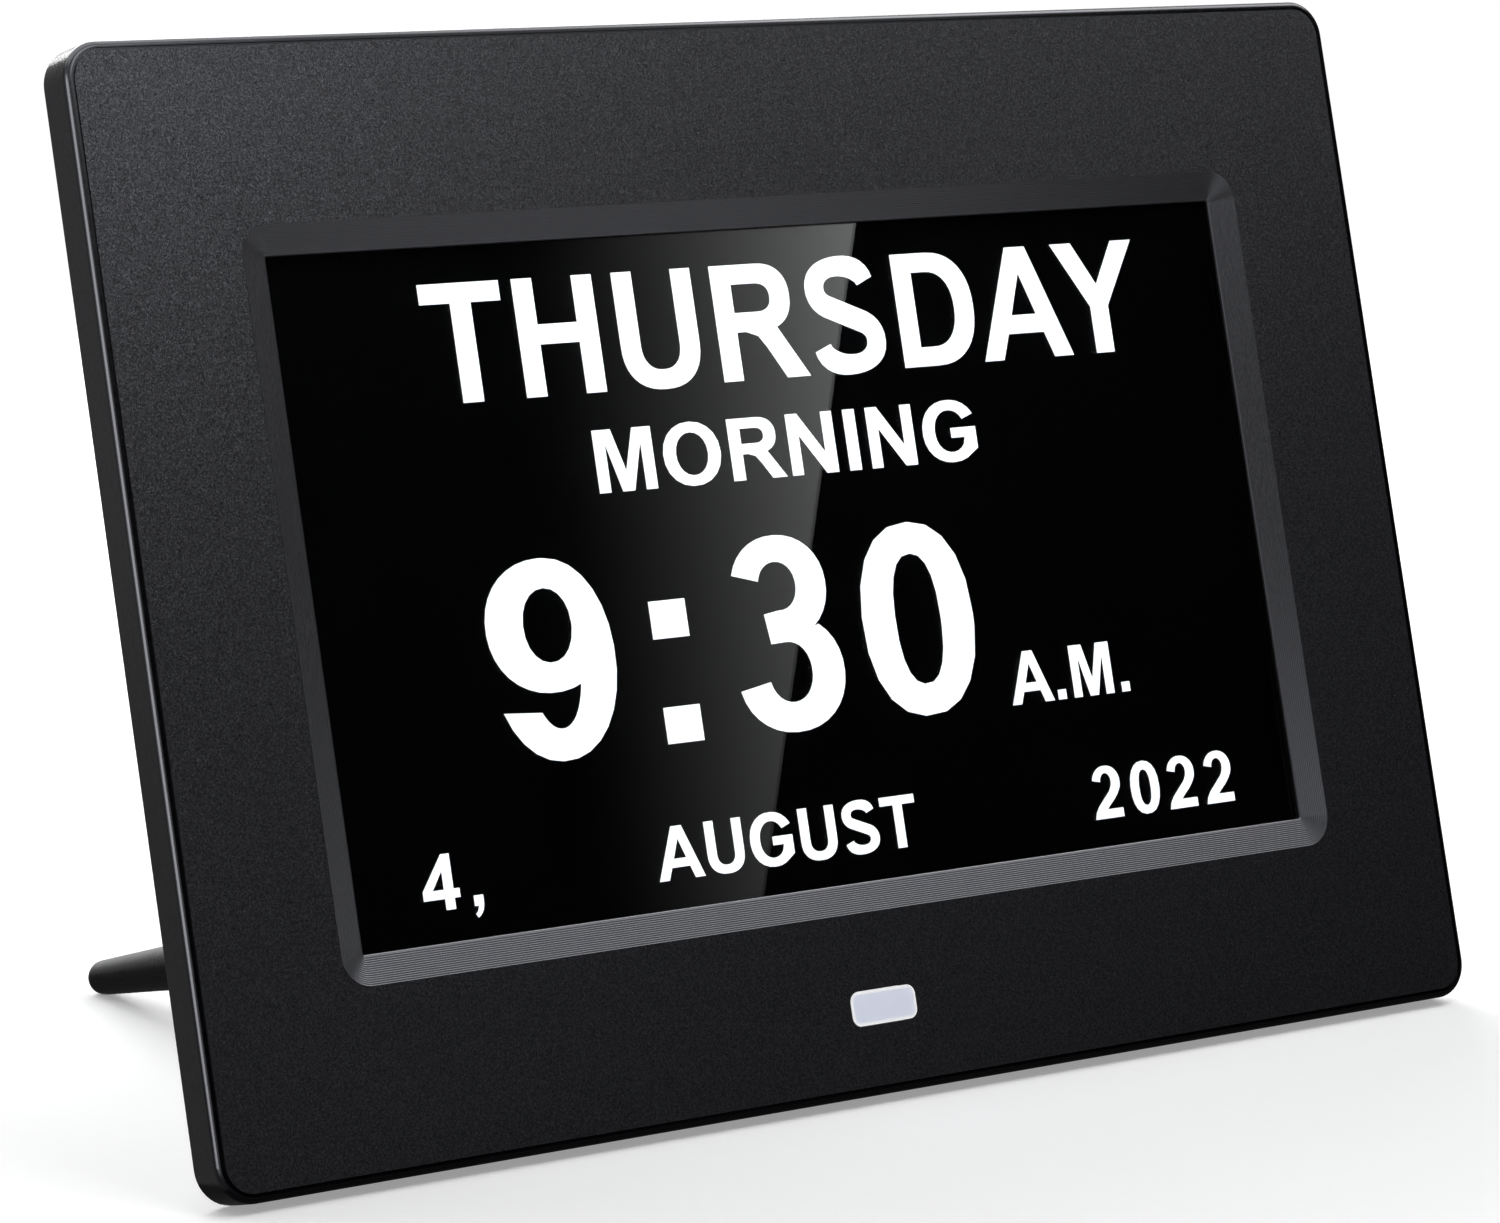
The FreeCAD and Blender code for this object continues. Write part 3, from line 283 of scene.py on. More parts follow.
# ---------------------------------------------------------------- finishes
# each returns the inputs of one Principled surface; here is the Object coordinate, in row-frame metres
def moulded_abs_bezel(tree, here, look):
    """Black ABS, moulded: a spark-eroded matte grain on the flat face, satin on walls and slopes.

    The grain breaks the light into fine speckles; the walls keep a soft even sheen. Real grain is finer
    still: the craters are drawn as coarse as they need to be to show.
    """
    where = case_point(tree, here)
    on_face = grained_face(tree, where)
    lean = add(tree, "TexVoronoi", {"Vector": where, "Scale": 1 / (look.grain * MM)}).outputs["Color"]
    own = add(tree, "SeparateXYZ", {0: lean}).outputs["X"]
    rough_face = add(tree, "MapRange", {"Value": own, "To Min": 0.34, "To Max": 0.5})
    rough_wall = patches(tree, where, 0.9, 0.18, 0.24)
    rough = add(tree, "MapRange", {"Value": on_face, "To Min": rough_wall, "To Max": rough_face})
    grain = add(tree, "Math", {0: on_face, 1: grained_wall(tree, where)}, operation="MAXIMUM")
    tilt = add(tree, "Math", {0: grain, 1: look.grain_tilt}, operation="MULTIPLY")
    share = add(tree, "Math", {0: own, 1: on_face}, operation="MULTIPLY")
    tint = add(tree, "Mix", {0: share, DARK: "#010102", LIGHT: "#141417"}, data_type="RGBA")
    return {"Base Color": tint.outputs[COLOUR], "Roughness": rough, "Normal": crater_normal(tree, lean, tilt)}


def moulded_abs_cover(tree, here, look):
    """Black ABS, moulded with a fine even spark-eroded grain: a dull sheen all over the back."""
    return {"Base Color": "#1c1c1f", "Roughness": patches(tree, here, 14.0, 0.44, 0.54),
            "Normal": grained(tree, here, look.cover_grain, look.grain_relief, detail=3.0, roughness=0.6)}


def moulded_abs_ribs(tree, here, look):
    """Black ABS as it leaves a milled steel mould: satin, with the ribs' own fine tool lines."""
    return {"Base Color": "#101013", "Specular IOR Level": 0.9,
            "Roughness": patches(tree, case_point(tree, here), 0.5, 0.32, 0.4, detail=1.0)}


def satin_abs_keys(tree, here, look):
    """Black ABS key cap, polished by fingers: satin with faint wear in its sheen."""
    return {"Base Color": "#1c1c1f", "Roughness": patches(tree, here, 3.0, 0.3, 0.46, detail=3.0),
            "Normal": grained(tree, here, 0.35, 0.006)}


def satin_abs_peg(tree, here, look):
    """Black ABS peg, turned-looking satin: long soft highlights along the taper."""
    return {"Base Color": "#121214", "Roughness": patches(tree, here, 2.2, 0.25, 0.36, detail=3.0),
            "Normal": grained(tree, here, 0.8, 0.004)}


def float_glass_lens(tree, here, look):
    """Float glass with a faint grey body tint: clear, sharp reflections and a trace of handling marks."""
    smear = patches(tree, here, 22.0, 0.0, 0.012, detail=3.0, roughness=0.6, spread=(0.5, 0.8))
    return {"Base Color": "#eef1f2", "Roughness": smear, "IOR": 1.5, "Transmission Weight": 1.0}


def crystal_cell_film(tree, here, look):
    """Switched-off liquid crystal cell: near black gloss film over a fine grid of picture cells."""
    return {"Base Color": picture_cells(tree, here, look, "#010102", "#030303"), "Roughness": 0.5,
            "Specular IOR Level": 0.04}


def lit_display_cells(tree, here, look):
    """Lit picture cells: white light through the colour filters, with a trace of the cells' grid."""
    return {"Base Color": "#ffffff", "Roughness": 0.6, "Emission Strength": look.word_strength,
            "Emission Color": picture_cells(tree, here, look, "#fbfcff", "#ffffff")}


def white_light_guide(tree, here, look):
    """White acrylic light guide with its printed dots."""
    dots = add(tree, "TexVoronoi", {"Vector": here, "Scale": 1 / (1.4 * MM)})
    edge = add(tree, "MapRange", {"Value": dots, "From Min": 0.25, "From Max": 0.35})
    tint = add(tree, "Mix", {0: edge, DARK: "#ffffff", LIGHT: "#dfe2e6"}, data_type="RGBA")
    return {"Base Color": tint.outputs[COLOUR], "Roughness": 0.35}


def closed_cell_foam(tree, here, look):
    """Closed-cell foam tape: dull black with a crumbly cell structure."""
    return {"Base Color": "#101011", "Roughness": 0.9, "Normal": celled(tree, here, 0.3, 0.05)}


def zinc_plated_steel(tree, here, look):
    """Stamped or rolled steel, zinc plated: bright metal with a drawn grain and dull clouding."""
    drawn = add(tree, "Mapping", {"Vector": here, "Scale": (0.08, 1.0, 1.0)})
    return {"Base Color": mottled(tree, here, 6.0, "#a5a7aa", "#c9cacd", detail=3.0), "Metallic": 1.0,
            "Roughness": patches(tree, drawn, 0.25, 0.24, 0.42, detail=3.0),
            "Normal": grained(tree, drawn, 0.25, 0.004, detail=3.0)}


def turned_brass(tree, here, look):
    """Turned brass: yellow metal with fine rings left by the lathe tool, 0.25 mm apart."""
    middle = tuple(placed(PEG_X, 0.0, PEG_Z))
    centred = add(tree, "Mapping", {"Vector": here, "Location": middle}, vector_type="TEXTURE")
    away = add(tree, "VectorMath", {0: centred}, operation="LENGTH").outputs["Value"]
    turns = add(tree, "Math", {0: away, 1: 2 * math.pi / (0.25 * MM)}, operation="MULTIPLY")
    rings = add(tree, "Math", {0: turns}, operation="SINE")
    rough = add(tree, "MapRange", {"Value": rings, "From Min": -1.0, "To Min": 0.22, "To Max": 0.36})
    return {"Base Color": "#c7a35a", "Metallic": 1.0, "Roughness": rough}


def milky_acrylic_painted_glow(tree, here, look):
    """Cast acrylic with a milky pigment: smooth, pale and faintly blue, with a painted glow that stands in
    for the room light it scatters back.

    Its edges carry a painted highlight, whitest at the border: the distance from the box of the corners'
    middles, against the corner radius.
    """
    middle = (np.mean(span("sensor_window", RIGHT)) * MM, 0.0, np.mean(span("sensor_window", UP)) * MM)
    half = [np.ptp(span("sensor_window", way)) / 2 - SENSOR_FLANGE - SENSOR_RADIUS for way in (RIGHT, UP)]
    away = beyond_corners(tree, case_point(tree, here), middle, (half[0] * MM, 1.0, half[1] * MM))
    rim_highlight = add(tree, "MapRange", {"Value": away, "From Min": (SENSOR_RADIUS - SENSOR_PAINTED_RIM[0]) * MM,
                                 "From Max": (SENSOR_RADIUS - SENSOR_PAINTED_RIM[1]) * MM})
    # painted highlight: colour and glow both whiten towards the edge; painted glow: emission over the whole
    # window, though it is no lamp
    body, glow = [add(tree, "Mix", {0: rim_highlight, DARK: dark, LIGHT: "#ffffff"}, data_type="RGBA")
                  for dark in ("#dee2ef", "#ccd1e2")]
    return {"Base Color": body.outputs[COLOUR], "Roughness": 0.12, "Coat Weight": 0.6, "Coat Roughness": 0.05,
            "Emission Color": glow.outputs[COLOUR], "Emission Strength": look.window_painted_glow}


def clear_epoxy_lamp(tree, here, look):
    """Clear cast epoxy of an indicator lamp: glossy, with the chip's grey shadow inside."""
    return {"Base Color": mottled(tree, here, 1.2, "#c2c9d1", "#e6eaf0"), "Roughness": 0.08, "IOR": 1.55,
            "Transmission Weight": 0.6}


def infrared_pass_epoxy(tree, here, look):
    """Dark red-black epoxy that passes infra-red: glossy and almost opaque."""
    return {"Base Color": "#150a0d", "Roughness": patches(tree, here, 1.5, 0.1, 0.24), "IOR": 1.55}


def green_solder_mask(tree, here, look):
    """Green solder mask on glass-epoxy laminate: glossy film over raised tracks and the glass weave."""
    where = case_point(tree, here)
    tracks = add(tree, "TexBrick", {"Vector": where, "Scale": 1 / (5.0 * MM), "Mortar Size": 0.04,
                                    "Color1": "#0d5a30", "Color2": "#116538", "Mortar": "#2b8a52"})
    return {"Base Color": tracks, "Roughness": 0.35, "Normal": grained(tree, where, 0.5, 0.01, detail=1.0)}


def moulded_chip_epoxy(tree, here, look):
    """Black moulded epoxy of a chip: dull, with a fine sandy filler."""
    return {"Base Color": "#1d1d1e", "Roughness": 0.6, "Normal": grained(tree, here, 0.2, 0.01)}


def sintered_ferrite(tree, here, look):
    """Sintered ferrite: dark grey ceramic with open pores."""
    return {"Base Color": mottled(tree, here, 1.5, "#303033", "#434347"), "Roughness": 0.55,
            "Normal": celled(tree, here, 0.5, 0.04)}


def drawn_aluminium(tree, here, look):
    """Drawn aluminium can: soft white metal with a drawn grain."""
    drawn = add(tree, "Mapping", {"Vector": here, "Scale": (1.0, 0.1, 1.0)})
    return {"Base Color": "#c8c9cb", "Metallic": 1.0, "Roughness": patches(tree, drawn, 0.3, 0.24, 0.38)}


def black_socket_nylon(tree, here, look):
    """Black glass-filled nylon of a socket: smooth, with faint flow marks."""
    return {"Base Color": "#111112", "Roughness": patches(tree, here, 2.0, 0.24, 0.4, detail=3.0)}


def natural_nylon(tree, here, look):
    """Undyed nylon: waxy off-white."""
    return {"Base Color": mottled(tree, here, 2.0, "#dad4c1", "#e9e5d6"), "Roughness": 0.45}


def polyester_flat_cable(tree, here, look):
    """Polyester flat cable: pale film over tinned conductors at 1 mm pitch."""
    across = add(tree, "SeparateXYZ", {0: here}).outputs["X"]
    turns = add(tree, "Math", {0: across, 1: 2 * math.pi / (1.0 * MM)}, operation="MULTIPLY")
    wave = add(tree, "Math", {0: turns}, operation="SINE")
    stripe = add(tree, "MapRange", {"Value": wave, "From Min": -0.2, "From Max": 0.2})
    tint = add(tree, "Mix", {0: stripe, DARK: "#b7b6b2", LIGHT: "#e3e0d8"}, data_type="RGBA")
    return {"Base Color": tint.outputs[COLOUR], "Roughness": 0.3}


def soft_pvc_wire(tree, here, look):
    """Soft red PVC insulation: dull gloss with faint printing dust."""
    return {"Base Color": mottled(tree, here, 1.0, "#97181b", "#b32226"), "Roughness": 0.42}


def pressed_cone_paper(tree, here, look):
    """Pressed paper pulp of a loudspeaker cone: dull black with fibres."""
    return {"Base Color": "#191919", "Roughness": 0.85, "Normal": grained(tree, here, 0.5, 0.06, detail=4.0)}


def nitrile_rubber(tree, here, look):
    """Black nitrile rubber: dull, slightly dusty."""
    return {"Base Color": mottled(tree, here, 0.8, "#121212", "#1f1f1f", detail=3.0), "Roughness": 0.75}


def pad_printed_ink(tree, here, look):
    """Pad-printed white ink: matte, a hair thick, slightly uneven."""
    return {"Base Color": mottled(tree, here, 0.6, "#cfd0d4", "#e2e3e7"), "Roughness": 0.55}


FINISH_OF_SLOT = {
    "bezel_plastic": moulded_abs_bezel, "cover_plastic": moulded_abs_cover, "key_plastic": satin_abs_keys,
    "peg_plastic": satin_abs_peg, "screen_glass": float_glass_lens, "gasket_foam": closed_cell_foam,
    "panel_glass": crystal_cell_film, "display_light": white_light_guide, "steel": zinc_plated_steel,
    "brass": turned_brass, "window_acrylic": milky_acrylic_painted_glow, "lamp_epoxy": clear_epoxy_lamp,
    "receiver_epoxy": infrared_pass_epoxy, "board_laminate": green_solder_mask,
    "chip_resin": moulded_chip_epoxy, "ferrite": sintered_ferrite, "capacitor_can": drawn_aluminium,
    "socket_plastic": black_socket_nylon, "plug_nylon": natural_nylon, "cable_film": polyester_flat_cable,
    "wire_insulation": soft_pvc_wire, "cone_paper": pressed_cone_paper, "washer_rubber": nitrile_rubber,
}
FINISHES_MADE = {}


def finish(function, look):
    """The material that this function describes, named for it and made once."""
    if function not in FINISHES_MADE:
        material, tree = blank_material(function.__name__)
        inputs = function(tree, add(tree, "TexCoord").outputs["Object"], look)
        # every finish but metal and glass gets the painted cool tint on its gloss
        if not inputs.get("Metallic") and not inputs.get("Transmission Weight"):
            inputs["Specular Tint"] = PAINTED_COOL_SHEEN
        add(tree, "OutputMaterial", {"Surface": add(tree, "BsdfPrincipled", inputs)})
        FINISHES_MADE[function] = material
    return FINISHES_MADE[function]


# ---------------------------------------------------------------- meshes
def new_object(name, data):
    """An object with this data, in the scene's own collection."""
    made = bpy.data.objects.new(name, data)
    bpy.context.scene.collection.objects.link(made)
    return made


def make_piece(name, points, faces, material, body):
    """A piece at the origin whose place is in its mesh; it rides on a body and takes a slot's finish."""
    mesh = bpy.data.meshes.new(name)
    mesh.from_pydata(points.reshape(-1, 3).tolist(), [], faces)
    tidy = bmesh.new()
    tidy.from_mesh(mesh)
    bmesh.ops.recalc_face_normals(tidy, faces=tidy.faces)
    tidy.to_mesh(mesh)
    tidy.free()
    mesh.materials.append(material)
    mesh.validate()
    if not mesh.polygons:
        raise RuntimeError(name + " has no faces")
    piece = new_object(name, mesh)
    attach(piece, body)
    return piece


def grid_faces(rows, columns, wrap_rows=False, wrap_columns=False):
    """Quads of a grid of rows x columns points, closed on itself where asked."""
    i = np.arange(rows if wrap_rows else rows - 1)[:, None]
    j = np.arange(columns if wrap_columns else columns - 1)[None, :]
    below, beside = (i + 1) % rows, (j + 1) % columns
    quads = np.stack(np.broadcast_arrays(i * columns + j, below * columns + j,
                                         below * columns + beside, i * columns + beside), -1)
    return quads.reshape(-1, 4).tolist()


def outline_faces(loops, first):
    """Faces of a flat outline carried through a thickness: both caps cut into triangles, and the walls.

    The front points of all loops come first, then the rear points in the same order.
    """
    count = sum(len(loop) for loop in loops)
    faces = []
    for a, b, c in tessellate_polygon([loop.tolist() for loop in loops]):
        faces.append((first + a, first + b, first + c))
        faces.append((first + count + c, first + count + b, first + count + a))
    start = first
    for loop in loops:
        here = start + np.arange(len(loop))
        after = start + (np.arange(len(loop)) + 1) % len(loop)
        faces += np.stack([here, after, after + count, here + count], 1).tolist()
        start += len(loop)
    return faces


def flat_piece(name, outlines, front, rear, material, body):
    """Piece of flat outlines with a thickness: every outline is a list of loops, the outer one first."""
    points, faces = [], []
    first = 0
    for loops in outlines:
        ring = np.concatenate(loops)
        for depth in (front, rear):
            points.append(placed(ring[:, 0], depth, ring[:, 1]))
        faces += outline_faces(loops, first)
        first += 2 * len(ring)
    return make_piece(name, np.concatenate(points), faces, material, body)


# ---------------------------------------------------------------- letter shapes, in cap heights
STEM = 0.202
BAR = 0.169
OVERSHOOT = 0.017             # round letters pass the line by this much
ARC_STEPS = 20
ROUND_TRIP = (0, 354)         # degrees of a closed ring: its last point stands short of its first


def poly(*corners):
    """Straight-sided stretch of an outline."""
    return np.array(corners, float)


def arc(centre, radii, start, end, squareness=2.0):
    """Superellipse from start to end degrees.

    Its points are centre + radii * sign(cos a)|cos a|^(2/squareness), and the same with sin a upwards.
    """
    angle = np.radians(np.linspace(start, end, ARC_STEPS + 1))
    unit = np.stack([np.cos(angle), np.sin(angle)], 1)
    return np.array(centre) + np.array(radii) * np.sign(unit) * np.abs(unit) ** (2 / squareness)


def ribbon(middle, half_width):
    """Outline of a stroke: its middle line moved half_width to each side along its own normal."""
    along = np.gradient(middle, axis=0)
    normal = np.stack([-along[:, 1], along[:, 0]], 1) / np.linalg.norm(along, axis=1)[:, None]
    side = normal * np.asarray(half_width).reshape(-1, 1)
    return np.concatenate([middle + side, (middle - side)[::-1]])


# straight-sided letters, as the corners of their loops
STRAIGHT = {
    "A": [[(0, 0), (0.39, 1), (0.613, 1), (1.003, 0), (0.79, 0), (0.703, 0.227), (0.302, 0.227), (0.212, 0)],
          [(0.364, 0.393), (0.641, 0.393), (0.502, 0.767)]],
    "H": [[(0, 0), (STEM, 0), (STEM, 0.437), (0.601, 0.437), (0.601, 0), (0.803, 0), (0.803, 1), (0.601, 1),
           (0.601, 0.606), (STEM, 0.606), (STEM, 1), (0, 1)]],
    "I": [[(0, 0), (STEM, 0), (STEM, 1), (0, 1)]],
    "K": [[(0, 0), (STEM, 0), (STEM, 0.31), (0.31, 0.42), (0.6, 0), (0.86, 0), (0.45, 0.57), (0.82, 1),
           (0.56, 1), (STEM, 0.6), (STEM, 1), (0, 1)]],
    "M": [[(0, 0), (0.187, 0), (0.187, 0.787), (0.386, 0), (0.58, 0), (0.778, 0.787), (0.778, 0), (0.965, 0),
           (0.965, 1), (0.662, 1), (0.482, 0.32), (0.302, 1), (0, 1)]],
    "N": [[(0, 0), (0.187, 0), (0.187, 0.652), (0.599, 0), (0.801, 0), (0.801, 1), (0.614, 1), (0.614, 0.332),
           (0.196, 1), (0, 1)]],
    "T": [[(0.297, 0), (0.499, 0), (0.499, 1 - BAR), (0.796, 1 - BAR), (0.796, 1), (0, 1), (0, 1 - BAR),
           (0.297, 1 - BAR)]],
    "Y": [[(0.366, 0), (0.568, 0), (0.568, 0.42), (0.934, 1), (0.7, 1), (0.468, 0.615), (0.235, 1), (0, 1),
           (0.366, 0.42)]],
    "4": [[(0.435, 0), (0.628, 0), (0.628, 0.2), (0.75, 0.2), (0.75, 0.366), (0.628, 0.366), (0.628, 1.0),
           (0.46, 1.0), (0, 0.365), (0, 0.2), (0.435, 0.2)],
          [(0.2, 0.366), (0.435, 0.366), (0.435, 0.71)]],
    ",": [[(0, 0), (0, 0.19), (0.19, 0.19), (0.19, 0.03), (0.165, -0.08), (0.11, -0.16), (0.045, -0.21),
           (0, -0.14), (0.05, -0.1), (0.085, 0)]],
    ".": [[(0, 0), (0.19, 0), (0.19, 0.19), (0, 0.19)]],
}


def letter_d():
    """Stem with one full bowl."""
    outer = np.concatenate([poly((0, 0)), arc((0.372, 0.5), (0.466, 0.5), -90, 90, 2.3), poly((0, 1))])
    inner = np.concatenate([poly((STEM, BAR)), arc((0.35, 0.5), (0.278, 0.5 - BAR), -90, 90, 2.3),
                            poly((STEM, 1 - BAR))])
    return [outer, inner]


def letter_g():
    """Open ring with a level bar into its middle."""
    outer = arc((0.49, 0.5), (0.49, 0.5 + OVERSHOOT), 29, 312, 2.15)
    bar = poly((0.944, 0.19), (0.944, 0.55), (0.5, 0.55), (0.5, 0.385), (0.737, 0.385))
    inner = arc((0.49, 0.5), (0.277, 0.348), -40, -329, 2.15)
    return [np.concatenate([outer, bar, inner])]


def letter_o():
    """Ring."""
    return [arc((0.482, 0.5), (0.482, 0.5 + OVERSHOOT), *ROUND_TRIP, 2.1),
            arc((0.482, 0.5), (0.27, 0.345), *ROUND_TRIP, 2.1)]


def letter_r():
    """Stem with a bowl at the top and a leg that leans out from under it."""
    bowl = arc((0.48, 0.711), (0.322, 0.289), 90, -66, 2.3)
    leg = poly((0.7, 0.33), (0.913, 0), (0.67, 0), (0.5, 0.27), (0.42, 0.375), (0.3, 0.417), (STEM, 0.417),
               (STEM, 0), (0, 0))
    hole = np.concatenate([poly((STEM, 0.831)), arc((0.44, 0.708), (0.155, 0.123), 90, -90, 2.4),
                           poly((STEM, 0.585))])
    return [np.concatenate([poly((0, 1)), bowl, leg]), hole]


def letter_s():
    """Stroke along two arcs. Its half width is 0.099, less 0.015 cos^2 away from its middle.

    So it is thinnest where it runs level, at the top and the bottom.
    """
    top = arc((0.398, 0.742), (0.277, 0.19), 12, 232, 2.2)
    low = arc((0.418, 0.268), (0.294, 0.199), 52, -170, 2.2)
    middle = np.concatenate([top, low])
    share = np.linspace(-0.5, 0.5, len(middle))
    half = 0.099 - 0.015 * np.cos(2 * math.pi * share / 0.56) ** 2 * (np.abs(share) > 0.14)
    return [ribbon(middle, half)]


def letter_u():
    """Two stems that meet in a half ring."""
    w = 0.808
    low = arc((w / 2, 0.37), (w / 2, 0.37 + OVERSHOOT), 180, 360, 2.35)
    high = arc((w / 2, 0.37), (w / 2 - STEM, 0.37 - 0.152), 360, 180, 2.35)
    return [np.concatenate([poly((0, 1)), low, poly((w, 1), (w - STEM, 1)), high, poly((STEM, 1))])]


def figure_0():
    """Narrow ring."""
    return [arc((0.34, 0.5), (0.34, 0.5 + OVERSHOOT), *ROUND_TRIP, 2.25),
            arc((0.34, 0.5), (0.14, 0.348), *ROUND_TRIP, 2.4)]


def figure_2():
    """Hook over a slanted stroke and a level foot."""
    over = arc((0.35, 0.69), (0.322, 0.327), 170, -24, 2.1)
    under = arc((0.342, 0.705), (0.128, 0.17), -14, 178, 2.1)
    foot = poly((0.58, 0.45), (0.5, 0.36), (0.37, 0.245), (0.305, 0.176), (0.672, 0.176), (0.672, 0), (0, 0),
                (0.03, 0.12), (0.11, 0.24), (0.25, 0.375), (0.4, 0.52), (0.45, 0.6))
    return [np.concatenate([over, foot, under])]


def figure_3():
    """Two open bowls, one over the other, that meet in a short spur."""
    over = arc((0.33, 0.742), (0.296, 0.275), 163, -52, 2.1)
    round_low = arc((0.335, 0.288), (0.335, 0.305), 52, -169, 2.1)
    hollow_low = arc((0.33, 0.298), (0.138, 0.158), -166, 96, 2.1)
    hollow_top = arc((0.32, 0.75), (0.118, 0.128), -96, 166, 2.1)
    spur = poly((0.235, 0.452), (0.215, 0.61))
    return [np.concatenate([over, round_low, hollow_low, spur, hollow_top])]


def figure_9():
    """Closed bowl with a tail that curls under it."""
    tail_in = arc((0.339, 0.5), (0.143, 0.352), -133, -22, 2.1)
    bowl = arc((0.327, 0.675), (0.327, 0.3425), -63, -270, 2.1)
    tail_out = arc((0.339, 0.5), (0.339, 0.517), 88, -153, 2.1)
    return [np.concatenate([tail_in, bowl, tail_out]), arc((0.333, 0.675), (0.132, 0.19), *ROUND_TRIP, 2.1)]


ROUND = {"D": letter_d, "G": letter_g, "O": letter_o, "R": letter_r, "S": letter_s, "U": letter_u,
         "0": figure_0, "2": figure_2, "3": figure_3, "9": figure_9}
# the space that each letter takes, and the space before it
SPACING = {
    "A": (1.009, 0.0), "D": (1.009, 0.101), "G": (1.087, 0.06), "H": (1.009, 0.102), "I": (0.388, 0.095),
    "K": (1.009, 0.1), "M": (1.164, 0.099), "N": (1.009, 0.104), "O": (1.087, 0.061), "R": (1.009, 0.102),
    "S": (0.932, 0.05), "T": (0.853, 0.029), "U": (1.009, 0.1), "Y": (0.932, 0.0), "0": (0.777, 0.05),
    "2": (0.777, 0.036), "3": (0.777, 0.05), "4": (0.777, 0.02), "9": (0.777, 0.05), ",": (0.388, 0.1),
    ".": (0.388, 0.1),
}
CLOSER = {"AY": 0.104, "DA": 0.02}        # pairs that are set closer


def set_words(text, left, right, base, height, narrow=1.0):
    """Outlines of a line of letters, spread to lie between left and right on the base line."""
    outlines, pen = [], 0.0
    for before, letter in zip(" " + text, text):
        space, bearing = SPACING[letter]
        shape = [poly(*loop) for loop in STRAIGHT[letter]] if letter in STRAIGHT else ROUND[letter]()
        pen -= CLOSER.get(before + letter, 0.0)
        outlines.append([loop * (narrow, 1.0) + (pen + bearing, 0.0) for loop in shape])
        pen += space
    everything = np.concatenate([loop for loops in outlines for loop in loops])
    low, high = everything[:, 0].min(), everything[:, 0].max()
    scale = (right - left) / (high - low)
    return [[np.stack([left + (loop[:, 0] - low) * scale, base + loop[:, 1] * height], 1) for loop in loops]
            for loops in outlines]


def colon_squares():
    """The two squares between hours and minutes, in mm on the glass."""
    return [[poly((-26.6, low), (-20.85, low), (-20.85, high), (-26.6, high))]
            for low, high in ((-22.8, -18.0), (-9.0, -4.0))]


# piece name: lines of text as (text, left, right, base line, cap height), mm on the glass; a last value
# narrows the letters within their own spaces
DISPLAY = {
    "display_weekday": [("THURSDAY", -55.1, 63.2, 23.95, 15.6)],
    "display_daypart": [("MORNING", -31.6, 31.1, 10.7, 8.3)],
    "display_time": [("9", -52.1, -32.9, -22.87, 25.53), ("3", -13.9, 3.3, -22.87, 25.53),
                     ("0", 7.4, 26.0, -22.87, 25.53)],
    "display_half_day": [("A.M.", 30.6, 51.3, -23.35, 7.2)],
    "display_date": [("4,", -66.9, -58.1, -40.1, 7.1, 0.84)],
    "display_month": [("AUGUST", -31.0, 11.5, -40.4, 7.0)],
    "display_year": [("2022", 42.0, 67.0, -40.4, 7.15, 0.86)],
}


# ---------------------------------------------------------------- settings that a user would change
class ClockLook(bpy.types.PropertyGroup):
    """The clock's own look: grain, light of the display, and the fine shapes that the scene adds"""

    grain: FloatProperty(name="Grain", description="Size of the face's grain, mm", default=0.13)
    cover_grain: FloatProperty(name="Back grain", description="Size of the back's grain, mm", default=0.18)
    grain_relief: FloatProperty(name="Back relief", description="Height of its grain, mm", default=0.04)
    grain_tilt: FloatProperty(name="Grain tilt", description="How far the face's craters lean", default=0.26)
    pixel_pitch: FloatProperty(name="Cell pitch", description="Pitch of picture cells, mm", default=0.15)
    word_strength: FloatProperty(name="Word light", description="Brightness of the lit words", default=1.0)
    # painted glow: emission that stands in for the room light which the sensor window scatters back
    window_painted_glow: FloatProperty(name="Window glow", description="Light that the sensor window scatters back",
                               default=0.4)
    rib_crest: FloatProperty(name="Rib height", description="Height of the fine ribs, mm", default=0.02)
    word_front: FloatProperty(name="Word front", description="Depth of the words' front, mm", default=2.62)
    word_rear: FloatProperty(name="Word back", description="Depth of the words' back, mm", default=2.72)
    mark_height: FloatProperty(name="Key marks", description="How far they stand out, mm", default=0.08)
    thread_pitch: FloatProperty(name="Thread pitch", description="Pitch of the peg's thread, mm", default=1.0)
    thread_depth: FloatProperty(name="Thread depth", description="Depth of the peg's thread, mm", default=0.5)


class ClockStudio(bpy.types.PropertyGroup):
    """Floor, room and lamps"""

    floor_colour: FloatVectorProperty(name="Floor", description="Colour of the floor", subtype="COLOR",
                                      size=4, min=0.0, max=1.0, default=linear("#f4f4f5"))
    floor_lift: FloatProperty(name="Floor lift", description="White that the floor shows far from the lamps",
                              default=0.9)
    floor_near: FloatProperty(name="Floor near", description="White that the floor shows beside the clock",
                              default=0.3)
    room_light: FloatProperty(name="Room light", description="Strength of the even light of the room",
                              default=0.15)
    lamp_scale: FloatProperty(name="Lamps", description="Scale of the power of all lamps", default=1.0)


# ---------------------------------------------------------------- operators
class DAYCLOCK_OT_finishes(bpy.types.Operator):
    """Gives every solid part of the clock its finish, by its material slot"""

    bl_idname = "dayclock.finishes"
    bl_label = "Finish the solid parts"

    def execute(self, context):
        look = context.scene.dayclock_look
        for part in frame["record"]["subparts"]:
            slots = NODES[part["node"]].data.materials
            material = finish(FINISH_OF_SLOT[part["material_slot"]], look)
            slots.clear()
            slots.append(material)
        return {"FINISHED"}


